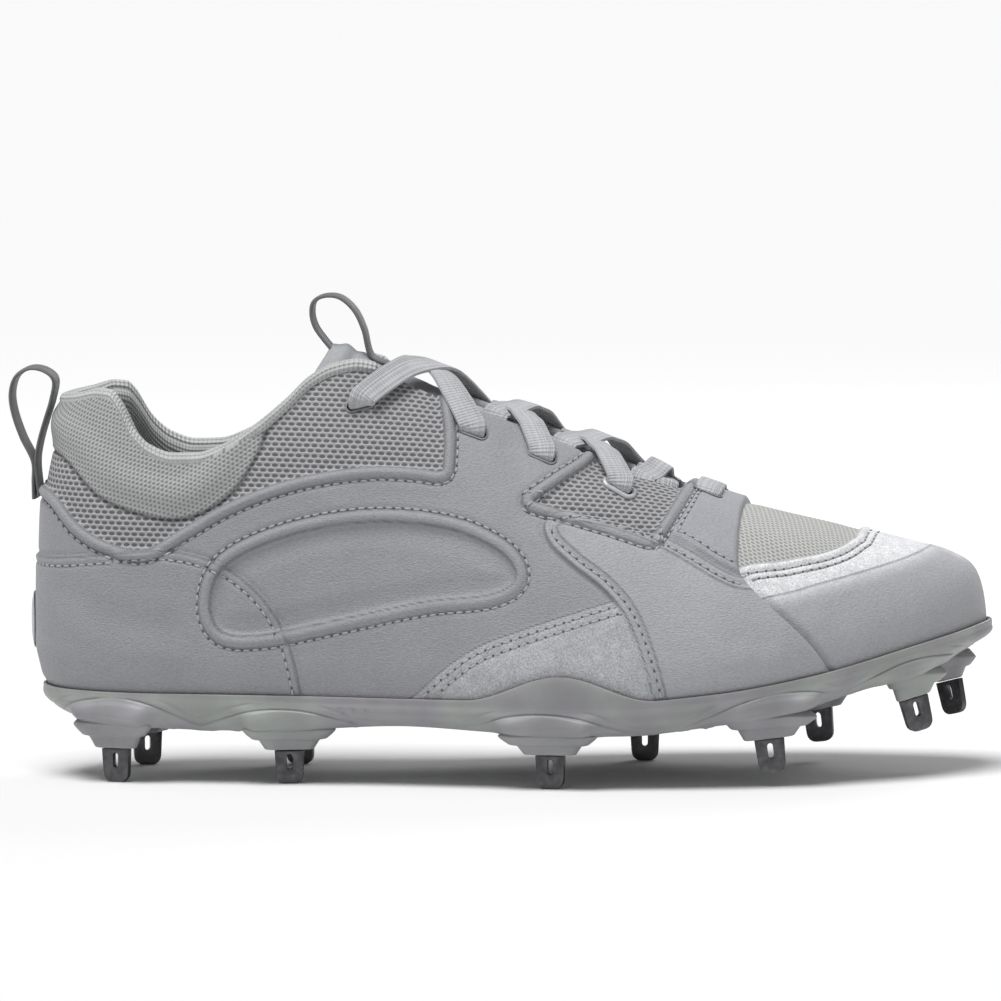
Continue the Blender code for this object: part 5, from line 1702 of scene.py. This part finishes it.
def seam_route(panel, shift, side):
    """A sewing line in space beside a panel's line, shift millimetres outside it."""
    line = panel_line(panel)
    ring = line if panel[1] is None else np.vstack([line, panel[1]])
    points = line_on_last(line, side)
    share, way = spot(points[:, 0], points[:, 2])
    _, normals = on_last(share, way, side)
    sideways = np.cross(unit(np.gradient(points, axis=0)), normals)
    trial = points + sideways * 1.5 * MM
    held = inside(trial[:, 0] * 1000, trial[:, 2] * 1000, ring).mean()
    moved = points + sideways * (shift * MM) * (-1 if held > 0.5 else 1)
    return moved


def stitch_places(route, side, layers, skip):
    """Where stitches lie along a route: places, directions, and outward directions."""
    run = lengths(route)
    at = np.arange(0.5 * STITCH_PITCH, run[-1], STITCH_PITCH)
    if len(at) < 2:
        return np.zeros((0, 3)), np.zeros((0, 3)), np.zeros((0, 3))
    centre = np.stack([np.interp(at, run, route[:, k]) for k in range(3)], axis=1)
    ahead = unit(
        np.stack([np.interp(at + 0.5 * MM, run, route[:, k]) for k in range(3)], axis=1)
        - np.stack([np.interp(at - 0.5 * MM, run, route[:, k]) for k in range(3)], axis=1)
    )
    share, way = spot(centre[:, 0], centre[:, 2])
    keep = ~skip(share, way, centre)
    base, normal = on_last(share, way, side)
    keep &= np.linalg.norm(base - centre, axis=1) < 2.5 * MM
    base, normal, ahead = base[keep], normal[keep], ahead[keep]
    if not len(base):
        return base, ahead, normal
    height, _ = layers(base, side)
    height = height + creased(base, side)
    return base + normal * (height + STITCH_LIFT)[:, None], ahead, normal


def sewn(name, places, aheads, normals, length, half_width, half_height):
    """One small ball, drawn out along the seam, copied to every place."""
    clear_selection()
    bpy.ops.mesh.primitive_uv_sphere_add(segments=6, ring_count=5, radius=0.5)
    start = bpy.context.object
    shape = np.array([tuple(v.co) for v in start.data.vertices])
    faces = [tuple(f.vertices) for f in start.data.polygons]
    bpy.data.objects.remove(start)
    ahead = unit(aheads - normals * (aheads * normals).sum(axis=1, keepdims=True))
    across = np.cross(normals, ahead)
    verts = (
        places[:, None]
        + ahead[:, None] * (shape[:, 2] * length)[None, :, None]
        + across[:, None] * (shape[:, 0] * 2 * half_width)[None, :, None]
        + normals[:, None] * (shape[:, 1] * 2 * half_height)[None, :, None]
    ).reshape(-1, 3) + CARRIER
    count = len(shape)
    all_faces = [tuple(v + n * count for v in face) for n in range(len(places)) for face in faces]
    mesh = bpy.data.meshes.new(name)
    mesh.from_pydata(verts.tolist(), [], all_faces)
    mesh.uv_layers.new(name="UVMap")
    mesh.validate()
    piece = bpy.data.objects.new(name, mesh)
    bpy.context.scene.collection.objects.link(piece)
    return smooth_shaded(merged(piece, 1e-7), 80)


def make_stitches():
    band_ring = np.vstack([panel_line(FOREFOOT_BAND), FOREFOOT_BAND[1]])

    def off_quarter(hide_band):
        def skip(share, way, centre):
            run = way * wall_run(share)
            out = (run < 2.5 * MM) | (share < HEEL_STITCH_START)
            out |= way > edge_way(share) - 2.0 * MM / wall_run(share)
            out |= share > front_share(centre[:, 2]) - 1.5 * MM / UPPER_LENGTH
            if hide_band:
                out |= inside(centre[:, 0] * 1000, centre[:, 2] * 1000, band_ring)
            return out

        return skip

    def off_vamp(share, way, centre):
        run = wall_run(share)
        out = (way * run < 3 * MM) | ((1 - way) * run < 2 * MM)
        return out | (share < front_share(centre[:, 2]) + 0.2 * MM)

    rows = (
        (COLLAR_MESH, (4.3,), quarter_layers, off_quarter(True)),
        (THROAT_MESH, (4.3,), quarter_layers, off_quarter(False)),
        (QUARTER_RECESS, (4.3,), quarter_layers, off_quarter(True)),
        (RAND, (-1.8, -4.3), quarter_layers, off_quarter(True)),
        (FOREFOOT_BAND, (-2.2,), quarter_layers, off_quarter(False)),
        (THROAT_PATCH, (-1.9,), quarter_layers, off_quarter(True)),
        (HEEL_COUNTER, (-2.4,), quarter_layers, off_quarter(True)),
        (VAMP_MESH, (3.0, 5.4), vamp_layers, off_vamp),
    )
    places, aheads, normals = [], [], []
    for panel, shifts, layers, skip in rows:
        for shift in shifts:
            for side in BOTH_SIDES:
                found = stitch_places(seam_route(panel, shift, side), side, layers, skip)
                for store, values in zip((places, aheads, normals), found):
                    store.append(values)
    places, aheads, normals = (np.vstack(v) for v in (places, aheads, normals))
    thread = sewn("stitches", places, aheads, normals, STITCH_LENGTH, STITCH_HALF_WIDTH, STITCH_HALF_HEIGHT)
    # Near-black specks at each stitch's end, as painted shade in the needle holes
    ends = places + aheads * (STITCH_PITCH / 2) - normals * 0.02 * MM
    holes = sewn("needle_points", ends, aheads, normals, *NEEDLE_POINT)
    return thread, holes


# Sole and studs

RIM_THICKNESS = 0.0009
RIM_HEIGHT = 0.0016
RIM_DROP = 0.0012
RIM_CLEARANCE = 0.0005
OUTRIGGER_HEIGHT = 0.0090
OUTRIGGER_CENTRE = 0.169
OUTRIGGER_REACH = 0.030
BOTTOM_INSET = 0.0052
STUD_HEIGHT = 0.0108
LUG_LENGTH = 0.035
LUG_BREADTH = 0.026
LUG_TRIANGLE = 0.24
# Half sizes of a lug's upper outline, as shares of its length and breadth
LUG_ALONG, LUG_ACROSS = 0.38, 0.44
LUG_POINTS = 72
# The underside's relief, in millimetres: where its zones start and end, pitch and depth of the contours
FLEX_START, FLEX_END = (150, 165), (245, 262)
FLEX_PITCH, FLEX_DEPTH = 12.0, 0.55
HEEL_START, HEEL_END = (8, 16), (72, 84)
CHEVRON_PITCH, CHEVRON_DEPTH = 14.0, 0.5
CONTOUR_EDGE = 0.25
# The midfoot window: middle, half length, half breadth, depth, and the ribs across it
WINDOW_MIDDLE, WINDOW_HALF_LENGTH, WINDOW_HALF_BREADTH, WINDOW_DEPTH = 118, 27, 15, 1.1
WINDOW_RIB_PITCH, WINDOW_RIB = 13.0, 0.6
LUG_INWARD = 0.0022
SIDE_ROWS = 56
SIDE_ROUNDING = 2.4
BUTTRESS_REACH = 16.0
SHOULDER_LOW = 10.4
SHOULDER_RISE = 7.6
SHOULDER_REACH = 31.0
# Lines that flow round the side: millimetres above the shoulder, and depth
FLOW_LINES = ((0.9, 0.50), (3.4, 0.26))
FLOW_HALF = 0.55
RIB_MIDDLES = (100.5, 104.2, 108.4)
OVERHANG_TRIES = (-0.006, 0.010, 0.0004)
OVERHANG_EASE = 9
SOLE_STATIONS = 330
SOLE_ACROSS = 84
BLADE_EASE = 0.35 * MM


def rim_height(share, side):
    away = (share * UPPER_LENGTH - OUTRIGGER_CENTRE) / OUTRIGGER_REACH
    swell = np.cos(math.pi * np.clip(away, -1, 1) / 2) ** 2 * (np.asarray(side) == LATERAL)
    low = RIM_HEIGHT - RIM_DROP * (1 - ramp(share, 0.10, 0.36))
    return low + (OUTRIGGER_HEIGHT - RIM_HEIGHT) * swell


def sole_walk():
    """Stations round the sole: lateral heel to toe, then medial back."""
    shares = share_along(np.linspace(0, GIRTH[-1], SOLE_STATIONS))
    shares[0], shares[-1] = 0.0, 1.0
    walk = np.concatenate([shares, shares[-2:0:-1]])
    side = np.concatenate([np.full(len(shares), LATERAL), np.full(len(shares) - 2, MEDIAL)])
    return shares, walk, side


def of_stud(stud, name):
    return stud[STUD_COLUMNS.index(name)]


def stud_side(stud):
    return LATERAL if of_stud(stud, "across") < 0 else MEDIAL


def stud_spot(stud):
    """Plan place of a stud, its turn, lug size, and the level of its lug's face."""
    share, size = of_stud(stud, "station"), of_stud(stud, "lug_size")
    middle = BALL_BREADTH * float(last_value("middle", share))
    across = middle + BALL_BREADTH * of_stud(stud, "across")
    foot = TOE_SPRING * float(table_value(FEATHER, FEATHER_COLUMNS, "spring", share))
    turn = math.radians(of_stud(stud, "turn"))
    return share, share * UPPER_LENGTH, across, turn, size, foot + STUD_HEIGHT


def lug_reach(x, y):
    """For points of the plan: how far out from the nearest lug's middle, 1 at its upper outline."""
    best = np.full(len(x), 9.0)
    for stud in STUDS:
        _, cx, cy, turn, size, _ = stud_spot(stud)
        inward = -stud_side(stud)
        dx, dy = x - cx, y - cy
        along = dx * math.cos(turn) + dy * math.sin(turn)
        across = (-dx * math.sin(turn) + dy * math.cos(turn)) * inward - LUG_INWARD * size
        a, b = along / (LUG_ALONG * LUG_LENGTH * size), across / (LUG_ACROSS * LUG_BREADTH * size)
        angle = np.arctan2(a, b)
        best = np.minimum(best, np.hypot(a, b) * (1 - LUG_TRIANGLE * np.cos(3 * angle)))
    return best


def contours(place, pitch):
    """Rows of soft ridges, one to a pitch."""
    return ramp(np.sin(place * 2 * math.pi / pitch), -CONTOUR_EDGE, CONTOUR_EDGE)


def tread(x, y):
    """Relief of the sole's underside, downwards: flex contours, heel chevrons, midfoot window, moats."""
    reach = lug_reach(x, y)
    xm, ym = x * 1000, y * 1000
    wavy = xm + 3.0 * np.sin(ym / 6.0) + 9.0 * np.exp(-((reach - 0.9) ** 2) / 0.5)
    forefoot = ramp(xm, *FLEX_START) * (1 - ramp(xm, *FLEX_END)) * ramp(reach, 1.15, 1.5)
    height = FLEX_DEPTH * forefoot * contours(wavy, FLEX_PITCH)
    chevron = xm + 0.75 * np.abs(ym)
    heel = (1 - ramp(xm, *HEEL_END)) * ramp(xm, *HEEL_START) * ramp(reach, 1.15, 1.45)
    height = height + CHEVRON_DEPTH * heel * contours(chevron, CHEVRON_PITCH)
    ahead = xm - WINDOW_MIDDLE
    aside = ym + 2.5 - 0.02 * ahead
    mid = np.maximum(np.abs(ahead) / WINDOW_HALF_LENGTH, np.abs(aside) / WINDOW_HALF_BREADTH)
    height = height - WINDOW_DEPTH * (1 - ramp(mid, 0.86, 0.94)) + 0.7 * bump_at(mid, 1.03, 0.10)
    rib = np.abs((ahead + 0.6 * ym) / WINDOW_RIB_PITCH % 1.0 - 0.5)
    height = height + WINDOW_RIB * (1 - ramp(mid, 0.84, 0.90)) * ramp(rib, 0.36, 0.44)
    height = height - 0.5 * bump_at(reach, 1.22, 0.14) + 0.45 * bump_at(reach, 1.45, 0.12)
    return height * MM


def near_studs(along, side, reach):
    """For stations round the sole: 1 under a stud of that side, easing to 0 at the reach."""
    near = np.zeros(len(along))
    for stud in STUDS:
        _, cx, cy, _, size, _ = stud_spot(stud)
        mine = side == stud_side(stud)
        near = np.maximum(near, mine * bump_at(along, cx * 1000, reach * (0.45 + 0.55 * size)))
    return near


def side_relief(along, below, side):
    """Relief of the plate's side, in millimetres: shoulders over the lugs, flow lines, slanting ribs."""
    shoulder = SHOULDER_LOW - SHOULDER_RISE * near_studs(along, side, SHOULDER_REACH) ** 0.6
    relief = 0.30 * ramp(below - shoulder, -0.9, 0.9)
    for gap, depth in FLOW_LINES:
        line = shoulder - gap - 0.8 * np.sin(along / 17.0)
        relief = relief - depth * bump_at(below, line, FLOW_HALF) * ramp(line, 0.9, 1.8)
    for middle in RIB_MIDDLES:
        rib = bump_at(along - 0.6 * (below - 4.0), middle, 1.4)
        relief = relief - 0.55 * rib * ramp(below, 1.0, 2.0) * (1 - ramp(below, 7.5, 9.0))
    return relief


def lug_overhang(edge, outward):
    """For places round the plate's edge: how far outward the lugs' upper outline lies."""
    far = np.full(len(edge), OVERHANG_TRIES[0])
    for step in np.arange(*OVERHANG_TRIES):
        tried = edge + outward * step
        far = np.where(lug_reach(tried[:, 0], tried[:, 1]) < 1.0, step, far)
    return far


def make_plate():
    """The moulded plate: rim with outrigger, flowing side, and relief over its whole underside."""
    shares, walk, side = sole_walk()
    inner = GAP + OVERLAY + RIM_CLEARANCE
    outer = inner + RIM_THICKNESS
    depth = plate_depth(walk)
    rim = rim_height(walk, side)
    feather = feather_height(walk)
    along = walk * UPPER_LENGTH * 1000
    buttress = near_studs(along, side, BUTTRESS_REACH)
    inset = BOTTOM_INSET * (1 - 0.8 * buttress)
    edge = read_table(LAST_POINTS, walk, np.zeros(len(walk)), side)[:, :2]
    ahead = np.roll(edge, -1, axis=0) - np.roll(edge, 1, axis=0)
    outward = unit(np.stack([ahead[:, 1], -ahead[:, 0]], axis=1))
    push = np.maximum(0, lug_overhang(edge, outward) - (outer - inset))
    ease = np.hanning(OVERHANG_EASE + 2)[1:-1]
    push = np.convolve(np.pad(push, OVERHANG_EASE // 2, mode="wrap"), ease / ease.sum(), mode="valid")

    def row(out, rim_part=None, down=None):
        if rim_part is not None:
            up = rim_part * rim
            way = way_at_height(walk, feather + up)
            level = feather + up
        else:
            way = np.zeros(len(walk))
            level = feather - GAP - down * depth
        point = read_table(LAST_POINTS, walk, way, side)
        tangent = np.roll(point, -1, axis=0)[:, :2] - np.roll(point, 1, axis=0)[:, :2]
        normal = unit(np.stack([tangent[:, 1], -tangent[:, 0]], axis=1))
        point = point.copy()
        point[:, :2] += normal * np.broadcast_to(out, len(walk))[:, None]
        point[:, 2] = level
        return point

    rows = [row(inner, down=0.0), row(inner, 0.5), row(inner, 0.95), row(inner + 0.2 * MM, 1.04)]
    rows += [row(inner + 0.5 * MM, 1.06), row(outer - 0.15 * MM, 0.98), row(outer, 0.80)]
    rows += [row(outer + 0.05 * MM, 0.5), row(outer + 0.1 * MM, 0.2)]
    for down in np.linspace(0.02, 1.0, SIDE_ROWS):
        belly = 0.45 * MM * math.sin(math.pi * min(1.0, down / 0.75))
        out = outer + belly - inset * down**SIDE_ROUNDING + push * ramp(down, 0.12, 0.95)
        relief = side_relief(along, down * depth * 1000, side) * (1 - ramp(down, 0.84, 0.99))
        rows.append(row(out + relief * MM, down=float(down)))
    rings = np.array(rows)
    count = len(walk)
    piece, i, j, columns, lines = grid_piece("sole_side", len(rows) - 1, count)
    put_vertices(piece, rings[i, j % count] + CARRIER)
    set_uv(piece, j * 1.0, i * 1.0)
    caps = []
    for name, ring, under in (("sole_bottom", rings[-1], True), ("sole_top", rings[0], False)):
        half = len(shares)
        cap, a, b, ca, cb = grid_piece(name, half - 1, SOLE_ACROSS if under else 12)
        lateral = ring[:half]
        medial = np.concatenate([ring[:1], ring[half:][::-1], ring[half - 1 : half]])
        w = (b / cb)[:, None]
        points = lateral[a] * (1 - w) + medial[a] * w
        if under:
            edge = np.minimum(b, cb - b) / 4.0
            ends = np.minimum(a, ca - a) / 5.0
            fade = np.clip(np.minimum(edge, ends), 0, 1)
            points[:, 2] -= tread(points[:, 0], points[:, 1]) * fade
        put_vertices(cap, points + CARRIER)
        set_uv(cap, a * 1.0, b * 1.0)
        caps.append(cap)
    plate = joined([piece] + caps, "sole_plate")
    return smooth_shaded(merged(plate, 2e-5), 38)


# A lug from the plate down to its seat: shares of the plate's depth, of the drop, and of its size
LUG_FLARE = ((0.30, 0.80), (0.12, 0.93), (0.04, 0.985))
LUG_STEPS = (
    (0.00, 1.005), (0.07, 0.995), (0.15, 0.965), (0.25, 0.92), (0.35, 0.865), (0.43, 0.825),
    (0.465, 0.80), (0.49, 0.765), (0.51, 0.70), (0.53, 0.665), (0.58, 0.645), (0.70, 0.61),
    (0.82, 0.575), (0.93, 0.545), (0.985, 0.52),
)
LUG_SEAT = ((0, 0.49), (0, 0.44), (1, 0.41), (1, 0.36), (0, 0.33), (0, 0.10))


def make_lugs():
    """Ten flared lugs, each stepped down to the seat of its blade, with a soft ledge."""
    lugs = []
    for stud in STUDS:
        share, cx, cy, turn, size, seat = stud_spot(stud)
        inward = -stud_side(stud)
        depth = float(plate_depth(share))
        bottom = float(feather_height(share)) - GAP - depth
        drop = bottom - seat
        slope = math.tan(math.radians(of_stud(stud, "lean")))
        rows = [(bottom + up * depth, 0.0, part) for up, part in LUG_FLARE]
        rows += [(bottom - down * drop, slope * down, part) for down, part in LUG_STEPS]
        rows += [(seat + 0.35 * MM * rise, slope, part) for rise, part in LUG_SEAT]
        rings = []
        for height, tilt, part in rows:
            angle = np.linspace(0, 2 * math.pi, LUG_POINTS, endpoint=False)
            reach = size * part / (1 - LUG_TRIANGLE * np.cos(3 * angle))
            across = (LUG_ACROSS * LUG_BREADTH * reach * np.cos(angle) + LUG_INWARD * size) * inward
            along = LUG_ALONG * LUG_LENGTH * reach * np.sin(angle)
            rings.append(
                np.stack(
                    [
                        cx + along * math.cos(turn) - across * math.sin(turn),
                        cy + along * math.sin(turn) + across * math.cos(turn),
                        height + tilt * along,
                    ],
                    axis=1,
                )
            )
        lugs.append(tube_piece("lug", rings))
    return joined(lugs, "stud_lugs")


def make_blade(node):
    """A stud with its edges eased: a merged copy of the CAD's blade with a small bevel."""
    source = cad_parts[node]
    mesh = source.data.copy()
    mesh.name = "blade_" + node.replace("stud_", "")
    piece = bpy.data.objects.new(mesh.name, mesh)
    bpy.context.scene.collection.objects.link(piece)
    merged(piece, 1e-6)
    select_only(piece)
    bpy.ops.object.mode_set(mode="EDIT")
    bpy.ops.mesh.select_all(action="SELECT")
    bpy.ops.mesh.dissolve_limited(angle_limit=math.radians(2))
    bpy.ops.object.mode_set(mode="OBJECT")
    ease = {"width": BLADE_EASE, "segments": 3, "limit_method": "ANGLE", "angle_limit": math.radians(35)}
    applied(piece, "eased edges", "BEVEL", **ease)
    return smooth_shaded(piece, 40)


# The finished shoe

quarters = dressed(make_quarters(), QUARTER_CLOTH, "overlay_synthetic", "quarter_overlay", "upper")
vamp = dressed(make_vamp(), VAMP_CLOTH, "mesh_textile", "toe_overlay")
lining = dressed(make_lining(), LINING_CLOTH, "mesh_textile", "upper")
footbed = dressed(make_insole(), INSOLE_FOAM, "insole_foam", "insole")
padding = dressed(make_padding(), PADDING_CLOTH, "collar_textile", "collar_padding")
binding = dressed(make_binding(), BINDING_CLOTH, "collar_textile", "collar_padding")
tongue = dressed(make_tongue(), TONGUE_CLOTH, "tongue_textile", "tongue")
heel_ribbon, tongue_ribbon = make_loops()
dressed(heel_ribbon, RIBBON, "loop_webbing", "heel_pull_loop")
dressed(tongue_ribbon, RIBBON, "loop_webbing", "tongue_pull_loop")
dressed(make_badge(), BADGE, "badge_plastic", "heel_badge")
for lace, node in make_laces():
    dressed(lace, LACE_KNIT, "lace_knit", node)
rings, rims = make_rings()
dressed(rings, RING_PLASTIC, "badge_plastic")
dressed(rims, PUNCHED_EDGE_AND_SHADE, "overlay_synthetic")
stitches, holes = make_stitches()
dressed(stitches, THREAD, "overlay_synthetic")
dressed(holes, NEEDLE_HOLE_SHADE, "overlay_synthetic")
dressed(make_plate(), TPU, "plate", "outsole")
dressed(make_lugs(), TPU, "plate", "outsole")
for stud in STUDS:
    dressed(make_blade("stud_" + stud[0]), BLADE_STEEL, "stud_steel", "stud_" + stud[0])
